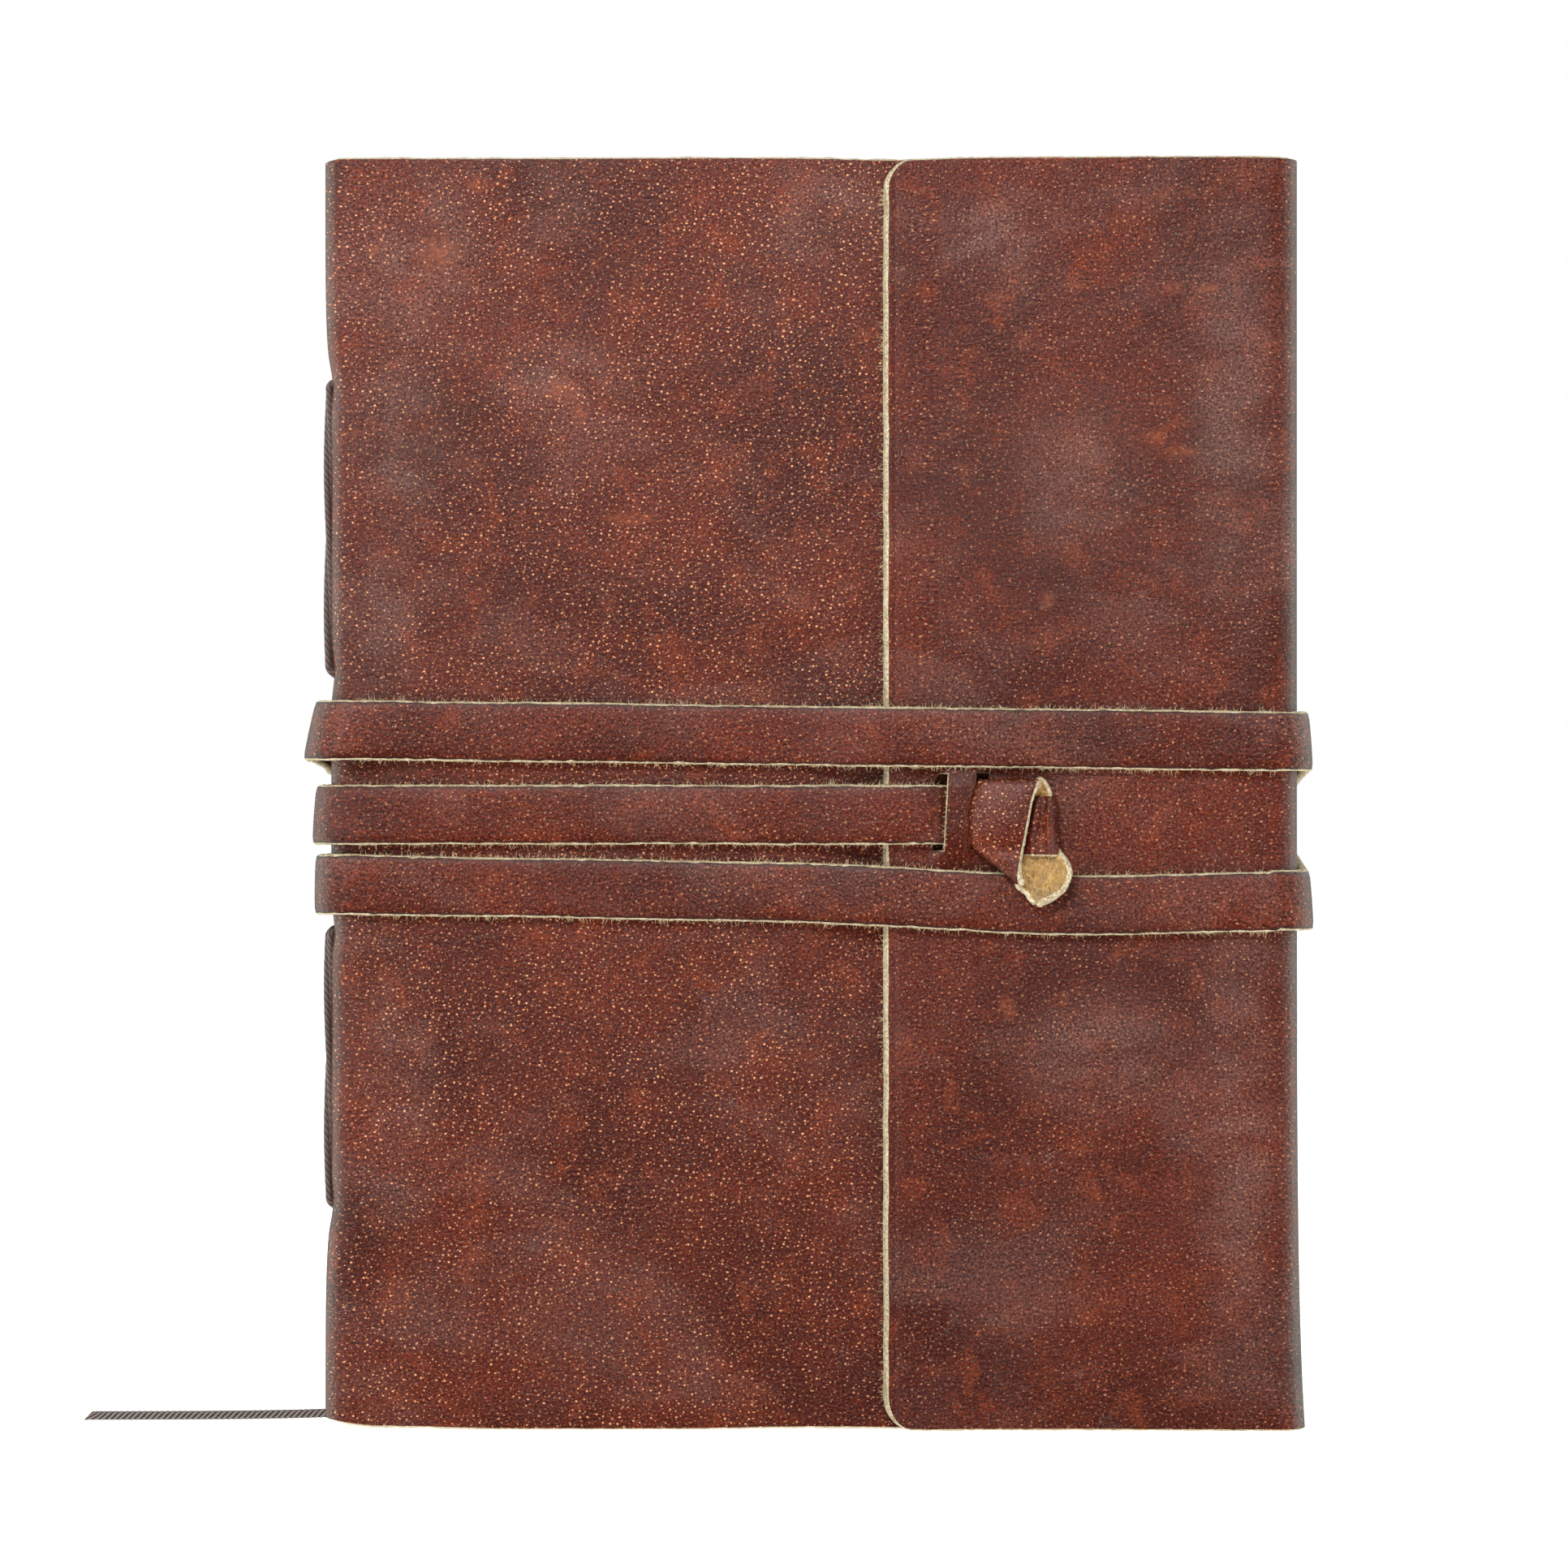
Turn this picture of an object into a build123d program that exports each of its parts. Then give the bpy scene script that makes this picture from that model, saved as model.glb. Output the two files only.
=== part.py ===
"""Leather wrap journal: a folded hide, five sewn booklets, a wound strap and a marker cord.

The book stands on its tail edge. +Z runs up its height, +X from the spine to the fore-edge, and the
front faces -Y. Inside this file the middle of the page block is at Y = 0; `save` moves every solid so
that the origin lies under the middle of the wrapped book.
"""
from build123d import *
import os
from math import cos, dist, pi, radians, sin, tan

# ---- hide ----
cover_height = 203.0      # tail edge to head edge
cover_width = 155.0       # spine's outer face to fore-edge's outer face
leather = 1.8             # thickness of the hide
fold_radius = 4.0         # outer radius of every fold in the hide
fold_land = 1.0           # straight stretch past a fold, before the next panel begins
fold_gap = 0.4            # left between two panels that turn against each other
cover_ease = 0.3          # between the pages and each cover
flap_ease = 0.3           # between the front cover and the flap that lies over it
cover_inset = 2.2         # front cover's free edge stops this far inside the fore-edge's inner face
flap_reach = 66.2         # fore-edge's outer face to the flap's free edge
flap_corner = 5.0         # radius of the flap's two free corners
spine_lift = 1.7          # the spine's tail edge clears the table by this much

# ---- booklets ----
booklet_count = 5
booklet_thickness = 5.16
booklet_gap = 0.1         # between neighbouring booklets
page_margin = 3.0         # the pages stop this far inside the cover at head and tail
page_inset = 3.2          # the pages stop this far inside the fore-edge
spine_ease = 0.5          # between the folded edges of the booklets and the spine

# ---- binding cords ----
cord_diameter = 1.6
cord_ease = 0.1           # around a cord, in its holes
cord_bend = 1.1           # radius of a cord's turns, on its centreline
cord_depth = 3.6          # spine's inner face to the cord that lies in a booklet's fold
cord_return = 2.2         # the cord's way back lies this much deeper
end_hole = 35.6           # tail or head edge to the nearest hole
hole_below_strap = 2.5    # strap's lowest edge at the spine to the hole under it
hole_above_strap = 4.3    # strap's highest edge at the spine to the hole over it
end_knot = 1.5            # radius of the knot that joins a cord's two ends

# ---- marker cord ----
marker_diameter = 1.4
marker_ease = 0.1         # around the marker where the pages hold it
marker_inset = 3.7        # spine's inner face to the marker's centreline
marker_start = 6.0        # height at which the free stretch begins
marker_glue = 4.0         # the marker's upper end stops this far below the top of the pages
marker_tip = -117.3       # X of the free end, on the table

# ---- strap ----
strap_width = 9.6
strap_thickness = 1.8
strap_ease = 0.05         # between the strap and what it lies on
layer_gap = 0.1           # between two layers of strap
row_height = 98.2         # middle of the row that comes out of the flap
gap_above = 3.9           # between the middle and top rows, at the spine
gap_below = 1.6           # between the middle and bottom rows, at the spine
top_drop = 1.8            # how much the top row sinks towards the fore-edge
bottom_drop = 2.4         # how much the bottom row sinks towards the fore-edge
bottom_sag = 0.5          # and how much lower still it is at the flap's edge
side_slope = 2.9          # height gained or lost by a pass over the fore-edge
tail_share = 0.6          # share of the back's width that the tucked tail covers
lift_run = 7.0            # length over which a strap climbs onto the layer below
arc_steps = 6             # stations along each quarter turn

# ---- slits, bridge and knot on the flap ----
slit_left = 9.9           # flap's free edge to the left slit
bridge_width = 5.2        # leather between the two slits
slit_width = 2.0          # as opened by the strap that passes through
slit_spare = 1.3          # slit's length beyond the strap's width, at each end
bridge_ease = 0.5         # between the bridge and the strap under it
knot_run = 9.0            # right slit to the knot's turn
knot_turn = 1.95          # radius of that turn
knot_back = 7.0           # length of the layer that comes back
band_size = (7.4, 13.4)   # the wrap over the knot's left side, along X and Z
band_drop = 0.9
tip_size = (7.6, 11.2)    # the strap's cut tip, along X and Z
tip_drop = 8.8            # middle of the tip below the middle of the strap

# ---- levels worked out from the sizes above ----
block_half = booklet_count * booklet_thickness / 2
cover_inner = block_half + cover_ease
cover_mid = cover_inner + leather / 2
cover_face = cover_inner + leather
flap_inner = cover_face + flap_ease
flap_mid = flap_inner + leather / 2
flap_face = flap_inner + leather
side_face = cover_width / 2
side_mid = side_face - leather / 2
side_inner = side_face - leather
fold_mid = fold_radius - leather / 2
fold_end = side_face - fold_radius
panel_end = fold_end - fold_land
flap_edge = side_face - flap_reach

strap_half = strap_thickness / 2
strap_on_cover = cover_face + strap_ease + strap_half
strap_on_flap = flap_face + strap_ease + strap_half
strap_on_side = side_face + strap_ease + strap_half
strap_over_strap = strap_on_cover + strap_thickness + layer_gap
turn_on_cover = fold_radius + strap_ease + strap_half

top_left = row_height + strap_width + gap_above
top_right = top_left - top_drop
bottom_left = row_height - strap_width - gap_below
bottom_right = bottom_left - bottom_drop

hole_heights = (
    cover_height - end_hole,
    top_left + strap_width / 2 + hole_above_strap,
    bottom_left - strap_width / 2 - hole_below_strap,
    end_hole,
)

knot_outer = strap_on_flap + 2 * knot_turn + strap_half
front_reach = knot_outer + strap_thickness
back_reach = strap_over_strap + strap_half
middle_shift = (front_reach - back_reach) / 2

page_bottom = page_margin
page_top = cover_height - page_margin
fold_edge = -side_inner + spine_ease
page_edge = side_inner - page_inset


def save(name, solid):
    """Move a solid into the part's own frame and write it as its node."""
    export_step(Pos(0, middle_shift, 0) * solid, f"parts/{name}.step")


def upright_panel(points, bottom, top):
    """A panel of hide standing on edge, whose middle surface follows the given points in plan."""
    height = (bottom + top) / 2
    route = [(x, y, height) for x, y in points]
    line = Line(*route) if len(route) == 2 else FilletPolyline(*route, radius=fold_mid)
    along = line % 0
    across = Vector(-along.Y, along.X, 0)
    section = Plane(origin=line @ 0, x_dir=across, z_dir=along) * Rectangle(leather, top - bottom)
    return sweep(section, path=line)


def tube(line, radius):
    """A round cord along a line."""
    return sweep(Plane(origin=line @ 0, z_dir=line % 0) * Circle(radius), path=line)


# ---------------------------------------------------------------- booklets and binding cords
def booklet_middle(number):
    return (number - (booklet_count - 1) / 2) * booklet_thickness


def cord_route(number):
    """A cord's way: outside between the upper holes, inside, outside between the lower ones, back."""
    y = booklet_middle(number)
    outside = -side_face - cord_diameter / 2 - cord_ease
    inside = -side_inner + cord_depth
    deep = inside + cord_return
    middle = (hole_heights[0] + hole_heights[3]) / 2
    top, upper, lower, bottom = hole_heights
    return FilletPolyline(
        (deep, y, middle + end_knot),
        (deep, y, top),
        (outside, y, top),
        (outside, y, upper),
        (inside, y, upper),
        (inside, y, lower),
        (outside, y, lower),
        (outside, y, bottom),
        (deep, y, bottom),
        (deep, y, middle - end_knot),
        radius=cord_bend,
    )


def knot_place(number):
    middle = (hole_heights[0] + hole_heights[3]) / 2
    return Pos(-side_inner + cord_depth + cord_return, booklet_middle(number), middle)


def cord_body(number, extra=0.0):
    """A binding cord with its end knot, or, with something extra, the room that it needs."""
    knot = knot_place(number) * Sphere(end_knot + extra)
    return tube(cord_route(number), cord_diameter / 2 + extra) + knot


def marker_line():
    return booklet_thickness / 2 if booklet_count % 2 else 0.0


def marker_held(extra=0.0, low=marker_start, high=page_top - marker_glue):
    """The stretch of marker between two booklets, or the groove that it presses into them."""
    place = Pos(-side_inner + marker_inset, marker_line(), (low + high) / 2)
    return place * Cylinder(marker_diameter / 2 + extra, high - low)


def booklet(number):
    """Folded sheets: flat at the fore-edge, round at the fold."""
    thick = booklet_thickness - booklet_gap
    length = page_edge - fold_edge
    outline = Rectangle(length, thick)
    outline = fillet(outline.vertices().sort_by(Axis.X)[:2], thick / 2 * 0.98)
    place = Pos((fold_edge + page_edge) / 2, booklet_middle(number), page_bottom)
    solid = place * extrude(outline, page_top - page_bottom)
    groove = marker_held(marker_ease, page_bottom - 1, page_top - marker_glue + 1)
    return solid - cord_body(number, cord_ease) - groove


# ---------------------------------------------------------------- hide panels
def spine_panel():
    """The spine with its two folds, pierced for the cords, its tail edge lifted off the table."""
    points = [(-panel_end, cover_mid), (-side_mid, cover_mid), (-side_mid, -cover_mid)]
    panel = upright_panel(points + [(-panel_end, -cover_mid)], spine_lift, cover_height)
    for number in range(booklet_count):
        for height in hole_heights:
            hole = Rot(0, 90, 0) * Cylinder(cord_diameter / 2 + cord_ease, 3 * leather)
            panel -= Pos(-side_mid, booklet_middle(number), height) * hole
    return panel


def back_panel():
    """The back cover, with the fold towards the fore-edge."""
    fold_down = cover_mid - fold_mid - fold_land
    return upright_panel([(-panel_end, cover_mid), (side_mid, cover_mid), (side_mid, fold_down)], 0, cover_height)


def front_panel():
    start = -panel_end + fold_gap
    panel = upright_panel([(start, -cover_mid), (side_inner - cover_inset, -cover_mid)], 0, cover_height)
    corners = panel.edges().filter_by(Axis.Y).group_by(Axis.X)[-1]
    return fillet(corners, flap_corner)


def fore_edge_panel():
    """The strip over the pages' fore-edge, with the fold towards the flap."""
    start = cover_mid - fold_mid - fold_land - fold_gap
    return upright_panel([(side_mid, start), (side_mid, -flap_mid), (panel_end, -flap_mid)], 0, cover_height)


def flap_panel():
    """The flap, with a window for the strap and a bridge of its own leather arched over the strap."""
    panel = upright_panel([(panel_end - fold_gap, -flap_mid), (flap_edge, -flap_mid)], 0, cover_height)
    panel = fillet(panel.edges().filter_by(Axis.Y).group_by(Axis.X)[0], flap_corner)
    left = flap_edge + slit_left
    right = left + bridge_width
    opening = strap_width + 2 * slit_spare
    rise = strap_thickness + bridge_ease
    window = Box(bridge_width + 2 * slit_width, 3 * leather, opening)
    panel -= Pos((left + right) / 2, -flap_mid, row_height) * window
    inner = opening / 2
    outer = inner + leather
    profile = Polygon(
        (-outer, -flap_inner),
        (-inner, -flap_inner),
        (-inner + leather / 2, -flap_inner - rise),
        (inner - leather / 2, -flap_inner - rise),
        (inner, -flap_inner),
        (outer, -flap_inner),
        (inner, -flap_face - rise),
        (-inner, -flap_face - rise),
        align=None,
    )
    plane = Plane(origin=((left + right) / 2, 0, row_height), x_dir=(0, 0, 1), z_dir=(-1, 0, 0))
    return panel + plane * extrude(profile, bridge_width / 2, both=True)


# ---------------------------------------------------------------- strap
def station(x, y, z, heading):
    """The strap's upright cross-section where it passes a point, heading a way given in degrees."""
    along = Vector(cos(radians(heading)), sin(radians(heading)), 0)
    across = Vector(-along.Y, along.X, 0)
    return Plane(origin=(x, y, z), x_dir=across, z_dir=along) * Rectangle(strap_thickness, strap_width)


def turn(centre_x, centre_y, radius, z, first, last):
    """Places round a corner: (x, y, z, heading), as the strap's place turns from one angle to another."""
    steps = [first + (last - first) * n / arc_steps for n in range(arc_steps + 1)]
    way = 90 if last > first else -90
    return [
        (centre_x + radius * cos(radians(a)), centre_y + radius * sin(radians(a)), z, a + way)
        for a in steps
    ]


def spine_pass(front_z, back_z):
    level = cover_face - fold_radius
    front = turn(-fold_end, -level, turn_on_cover, front_z, 270, 180)
    return front + turn(-fold_end, level, turn_on_cover, back_z, 180, 90)


def fore_edge_pass(back_z, front_z):
    back = turn(fold_end, cover_face - fold_radius, turn_on_cover, back_z, 90, 0)
    return back + turn(fold_end, -(flap_face - fold_radius), turn_on_cover, front_z, 0, -90)


def wraps_route():
    """Every place that the wound strap passes, from the flap's edge to the tucked tail."""
    back_width = 2 * fold_end
    first_right = bottom_right + side_slope
    second_right = top_right - side_slope
    climb = lift_run / back_width
    second_slope = second_right - bottom_left
    clear = (strap_width + row_height - bottom_left) / (second_slope + row_height - first_right)
    crossing_end = min(clear + 0.02, 1 - 2 * climb)
    tail_z = row_height + (first_right - row_height) * tail_share + strap_width + gap_below

    def second_run(share, level, heading):
        return -fold_end + back_width * share, level, bottom_left + second_slope * share, heading

    route = [(flap_edge - fold_gap / 2, -strap_on_flap, row_height, 180)]
    route += spine_pass(row_height, row_height)
    route += fore_edge_pass(first_right, bottom_right)
    route += [(flap_edge, -strap_on_flap, bottom_right - bottom_sag, 180)]
    route += spine_pass(bottom_left, bottom_left)
    route += [second_run(climb, strap_over_strap, 0), second_run(crossing_end, strap_over_strap, 0)]
    route += fore_edge_pass(second_right, top_right)
    route += [(flap_edge, -strap_on_flap, (top_right + top_left) / 2, 180)]
    route += spine_pass(top_left, top_left)
    route += [(-fold_end + back_width * tail_share, strap_on_cover, tail_z, 0)]
    return route


def tongue_route():
    """From the flap's edge, down through the left slit, under the bridge, up and round the knot."""
    left = flap_edge + slit_left
    right = left + bridge_width
    level = -flap_mid - strap_ease
    turn_x = right + knot_run
    on_top = [(flap_edge + fold_gap / 2, -strap_on_flap, row_height, 0)]
    under = [
        (left - slit_width + strap_ease, -strap_on_flap, row_height, 0),
        (left - strap_ease, level, row_height, 0),
        (right + strap_ease, level, row_height, 0),
        (right + slit_width - strap_ease, -strap_on_flap, row_height, 0),
    ]
    knot = turn(turn_x, -strap_on_flap - knot_turn, knot_turn, row_height, 90, -90)
    return on_top + under + knot + [(turn_x - knot_back, -strap_on_flap - 2 * knot_turn, row_height, 180)]


def length_of(route):
    return sum(dist(a[:3], b[:3]) for a, b in zip(route, route[1:]))


def ribbon(route):
    return loft([station(*place) for place in route], ruled=True)


def strap_knot():
    """The tongue with its turned-back layer, the band wrapped over it and the cut tip."""
    right = flap_edge + slit_left + bridge_width
    turn_x = right + knot_run
    level = -knot_outer - strap_thickness / 2
    band_x, band_z = band_size
    tip_x, tip_z = tip_size
    band = Pos(turn_x - knot_back + band_x / 2 - 1, level, row_height - band_drop)
    tip = Pos(turn_x + 1, level, row_height - tip_drop)
    solid = ribbon(tongue_route())
    solid += band * Box(band_x, strap_thickness, band_z)
    return solid + tip * Box(tip_x, strap_thickness, tip_z)


# ---------------------------------------------------------------- marker
def marker_points():
    """The free stretch: down out of the pages, round onto the table and straight out past the spine."""
    x = -side_inner + marker_inset
    y = marker_line()
    rest = marker_diameter / 2 + 0.05
    return [(x, y, marker_start), (x, y, 2.6), (x - 1.85, y, rest), (marker_tip, y, rest)]


def bend_radii(points):
    """Each corner's radius: 0.45 of its shorter run over the tangent of half its turn."""
    radii = []
    for a, b, c in zip(points, points[1:], points[2:]):
        before = Vector(*b) - Vector(*a)
        after = Vector(*c) - Vector(*b)
        half = radians(before.get_angle(after)) / 2
        radii.append(0.45 * min(before.length, after.length) / tan(half))
    return radii


def main():
    os.makedirs("parts", exist_ok=True)
    save("back_cover", back_panel())
    save("spine", spine_panel())
    save("front_cover", front_panel())
    save("fore_edge", fore_edge_panel())
    save("flap", flap_panel())
    for number in range(booklet_count):
        save(f"booklet_{number + 1}", booklet(number))
        save(f"binding_cord_{number + 1}", cord_body(number))
    save("strap_knot", strap_knot())
    save("strap_wraps", ribbon(wraps_route()))
    save("marker_held", marker_held())

    points = marker_points()
    radii = bend_radii(points)
    line = FilletPolyline(*points, radius=radii)
    marker = tube(line, marker_diameter / 2)
    save("marker", marker)

    section = pi * marker_diameter**2 / 4
    print("marker radii", [round(r, 2) for r in radii])
    print("marker length", round(line.length, 2), "volume", round(marker.volume, 2), round(section * line.length, 2))
    print("binding cord length", round(cord_route(0).length, 1))
    print("strap wraps", round(length_of(wraps_route()), 1), "tongue", round(length_of(tongue_route()), 1))
    print("moved in Y by", round(middle_shift, 4))
    print("front cover's fold", (-side_mid, round(-cover_mid + middle_shift, 4)))
    print("fore-edge's fold", (side_mid, round(cover_mid + middle_shift, 4)))
    print("flap's fold", (side_mid, round(-flap_mid + middle_shift, 4)))
    print("strap's fold", (round(flap_edge, 4), round(-strap_on_flap + middle_shift, 4)))


main()
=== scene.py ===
"""Leather wrap journal: the looks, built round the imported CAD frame.

Lengths are in millimetres until a mesh is made.
"""
from math import cos, pi, radians, sin

import bpy
import numpy as np
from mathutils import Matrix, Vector


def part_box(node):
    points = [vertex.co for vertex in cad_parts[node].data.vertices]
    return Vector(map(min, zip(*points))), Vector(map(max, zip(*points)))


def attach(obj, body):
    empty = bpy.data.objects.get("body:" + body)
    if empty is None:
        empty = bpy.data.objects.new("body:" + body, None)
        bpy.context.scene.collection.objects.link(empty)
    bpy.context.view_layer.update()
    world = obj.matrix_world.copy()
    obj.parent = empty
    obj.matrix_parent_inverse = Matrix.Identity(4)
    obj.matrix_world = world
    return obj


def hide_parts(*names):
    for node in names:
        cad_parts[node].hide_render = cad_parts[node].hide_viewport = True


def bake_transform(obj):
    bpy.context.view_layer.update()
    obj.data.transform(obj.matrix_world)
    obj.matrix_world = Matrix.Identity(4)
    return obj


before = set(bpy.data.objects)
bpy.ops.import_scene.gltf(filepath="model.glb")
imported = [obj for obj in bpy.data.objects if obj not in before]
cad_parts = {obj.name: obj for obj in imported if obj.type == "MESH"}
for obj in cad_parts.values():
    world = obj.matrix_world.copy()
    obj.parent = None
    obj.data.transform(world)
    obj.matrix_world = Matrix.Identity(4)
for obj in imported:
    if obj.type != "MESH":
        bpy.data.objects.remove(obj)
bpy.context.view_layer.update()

MM = 0.001


def box_mm(node):
    low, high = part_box(node)
    return np.array(low) / MM, np.array(high) / MM


# ---------------------------------------------------------------- levels read from the frame
spine_low, spine_high = box_mm("spine")
front_low, front_high = box_mm("front_cover")
flap_low, _ = box_mm("flap")
strip_low, _ = box_mm("fore_edge")

HEIGHT = front_high[2]
LEATHER = front_high[1] - front_low[1]
SIDE = -spine_low[0]
SIDE_MID = SIDE - LEATHER / 2
CENTRE_Y = (spine_low[1] + spine_high[1]) / 2
COVER_FACE = CENTRE_Y - spine_low[1]
COVER_MID = COVER_FACE - LEATHER / 2
FLAP_FACE = CENTRE_Y - strip_low[1]
FLAP_MID = FLAP_FACE - LEATHER / 2
FLAP_EDGE = flap_low[0]
FOLD_RADIUS = 4.0
STRAP_WIDTH = 9.6
STRAP_THICK = 1.8
STRAP_MIDDLE = 98.2
EASE = 0.05
random = np.random.default_rng(7)


# ---------------------------------------------------------------- camera
def add_camera():
    """Straight on, from a little over a metre, aimed at the middle of the picture."""
    distance, width, aim_x, aim_z, sensor = 1100.0, 250.2, -4.5, 103.1, 36
    plane_y = CENTRE_Y - COVER_FACE
    camera = bpy.data.objects.new("camera", bpy.data.cameras.new("camera"))
    camera.data.sensor_width = sensor
    camera.data.lens = sensor * distance / width
    camera.data.clip_start = 0.05
    camera.location = (aim_x * MM, (plane_y - distance) * MM, aim_z * MM)
    camera.rotation_euler = (radians(90), 0, 0)
    bpy.context.collection.objects.link(camera)
    bpy.context.scene.camera = camera


add_camera()


# ---------------------------------------------------------------- node helpers
class Graph:
    """The node tree of a material or a world, with short ways to add the nodes used here."""

    def __init__(self, owner, shader="Principled BSDF"):
        owner.use_nodes = True
        self.owner = owner
        self.tree = owner.node_tree
        self.shader = self.tree.nodes[shader]

    def link(self, source, target):
        self.tree.links.new(source, target)

    def put(self, socket, value):
        if hasattr(value, "is_linked"):
            self.link(value, socket)
        else:
            socket.default_value = value

    def surface(self, colour, normal=None, **values):
        """Sets the shader's colour, normal and other inputs, and gives the material."""
        self.put(self.shader.inputs["Base Color"], colour)
        if normal is not None:
            self.link(normal, self.shader.inputs["Normal"])
        for key, value in values.items():
            self.put(self.shader.inputs[key.replace("_", " ")], value)
        return self.owner

    def node(self, kind, **settings):
        n = self.tree.nodes.new(kind)
        for key, value in settings.items():
            setattr(n, key, value)
        return n

    def math(self, operation, a, b=0.0, clamp=False):
        n = self.node("ShaderNodeMath", operation=operation, use_clamp=clamp)
        self.put(n.inputs[0], a)
        self.put(n.inputs[1], b)
        return n.outputs[0]

    def flat(self, scale=(1, 1, 1), turn=0.0):
        """Place on the leather as it was cut, in millimetres, so a pattern follows the hide round folds."""
        place = self.node("ShaderNodeAttribute", attribute_name="flat")
        mapping = self.node("ShaderNodeMapping")
        mapping.inputs["Rotation"].default_value = (0, 0, radians(turn))
        mapping.inputs["Scale"].default_value = scale
        self.link(place.outputs["Vector"], mapping.inputs["Vector"])
        return mapping.outputs["Vector"]

    def noise(self, vector, scale, detail=4.0, rough=0.55, distortion=0.0):
        n = self.node("ShaderNodeTexNoise")
        self.put(n.inputs["Vector"], vector)
        n.inputs["Scale"].default_value = scale
        n.inputs["Detail"].default_value = detail
        n.inputs["Roughness"].default_value = rough
        n.inputs["Distortion"].default_value = distortion
        return n.outputs["Fac"]

    def cells(self, vector, scale, feature="F1", randomness=1.0):
        n = self.node("ShaderNodeTexVoronoi", feature=feature, voronoi_dimensions="2D")
        self.put(n.inputs["Vector"], vector)
        n.inputs["Scale"].default_value = scale
        n.inputs["Randomness"].default_value = randomness
        return n

    def ramp(self, value, low, high, to_low=0.0, to_high=1.0, shape="SMOOTHSTEP"):
        n = self.node("ShaderNodeMapRange", interpolation_type=shape)
        names = ("Value", "From Min", "From Max", "To Min", "To Max")
        for name, setting in zip(names, (value, low, high, to_low, to_high)):
            self.put(n.inputs[name], setting)
        return n.outputs["Result"]

    def mix(self, factor, a, b):
        n = self.node("ShaderNodeMix", data_type="RGBA")
        self.put(n.inputs["Factor"], factor)
        for socket, value in ((n.inputs[6], a), (n.inputs[7], b)):
            self.put(socket, value if hasattr(value, "is_linked") else (*value, 1.0))
        return n.outputs[2]

    def spots(self, vector, places):
        """How near a point is to any of the given marks: (x, z, width, height), 1 inside and 0 outside."""
        total = None
        for x, z, width, height in places:
            n = self.node("ShaderNodeMapping", vector_type="TEXTURE")
            n.inputs["Location"].default_value = (x, z, 0)
            n.inputs["Scale"].default_value = (width / 2, height / 2, 1)
            self.link(vector, n.inputs["Vector"])
            length = self.node("ShaderNodeVectorMath", operation="LENGTH")
            self.link(n.outputs["Vector"], length.inputs[0])
            near = self.ramp(length.outputs["Value"], 0.2, 1.3, 1.0, 0.0)
            total = near if total is None else self.math("MAXIMUM", total, near)
        return total

    def bump(self, height, distance, strength=1.0, under=None):
        n = self.node("ShaderNodeBump")
        n.inputs["Strength"].default_value = strength
        n.inputs["Distance"].default_value = distance * MM
        self.link(height, n.inputs["Height"])
        if under is not None:
            self.link(under, n.inputs["Normal"])
        return n.outputs["Normal"]


# ---------------------------------------------------------------- materials
def leather_colour(g, flat, grain, painted_sheen_spots):
    """Mottled mahogany, with a greyish bloom of wax here and there, painted sheen (a grey reflection put into
    the colour) at the places given, and painted shade in the grain's pits.
    """
    clouds = g.noise(flat, 0.035, 5, 0.6, 0.4)
    patches = g.noise(flat, 0.16, 6, 0.68, 0.6)
    dark, mid, warm = (0.066, 0.0075, 0.0028), (0.122, 0.0145, 0.0040), (0.225, 0.034, 0.007)
    colour = g.mix(g.ramp(clouds, 0.34, 0.66), dark, mid)
    colour = g.mix(g.ramp(patches, 0.48, 0.74, 0.0, 0.8), colour, warm)
    # dark where the grain's bump sinks: partly the grain's own tone, partly painted shade in its pits
    colour = g.mix(g.ramp(grain, 0.45, 0.62, 0.0, 0.88), colour, (0.016, 0.0032, 0.0020))
    colour = g.mix(g.ramp(grain, 0.44, 0.30, 0.0, 0.55), colour, (0.30, 0.078, 0.036))
    bloom_and_sheen = g.ramp(g.noise(g.flat((1.0, 1.7, 1.0), 20), 0.035, 4, 0.62, 0.5), 0.47, 0.68, 0.0, 0.42)
    # painted sheen: a grey reflection painted into the colour at the given places, broken up by noise; from
    # here the mask holds the wax bloom and the painted sheen together
    if painted_sheen_spots:
        uneven = g.noise(g.flat((1.0, 1.5, 1.0), -35), 0.075, 4, 0.62, 0.7)
        sheen_breakup = g.ramp(uneven, 0.36, 0.62, 0.22, 0.92)
        bloom_and_sheen = g.math("MAXIMUM", bloom_and_sheen, g.math("MULTIPLY", g.spots(flat, painted_sheen_spots), sheen_breakup))
    bloom_and_sheen = g.math("MULTIPLY", bloom_and_sheen, g.ramp(grain, 0.60, 0.38, 0.15, 1.0), clamp=True)
    return g.mix(g.math("MULTIPLY", bloom_and_sheen, 0.62), colour, (0.215, 0.120, 0.098))


def leather_pores(g, flat, strength):
    """How much of a pale pore is at a point: two crossing sets of dots, uneven in size and brightness."""
    where = g.ramp(g.noise(flat, 0.07, 3, 0.6, 0.5), 0.30, 0.62, 0.45, 1.0)
    pores = 0.0
    for scale, turn, radius in ((0.80, 14, 0.125), (1.05, -28, 0.090)):
        rows = g.cells(g.flat((1.0, 1.2, 1.0), turn), scale, randomness=0.85)
        draw = g.node("ShaderNodeSeparateColor")
        g.link(rows.outputs["Color"], draw.inputs["Color"])
        reach = g.ramp(draw.outputs[0], 0.0, 1.0, 0.7 * radius, 1.35 * radius)
        dot = g.ramp(g.math("DIVIDE", rows.outputs["Distance"], reach), 0.45, 1.25, 1.0, 0.0)
        lit = g.ramp(draw.outputs[1], 0.10, 0.80, 0.15, 1.0)
        pores = g.math("MAXIMUM", pores, g.math("MULTIPLY", dot, lit))
    return g.math("MULTIPLY", pores, g.math("MULTIPLY", where, strength), clamp=True)


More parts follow.
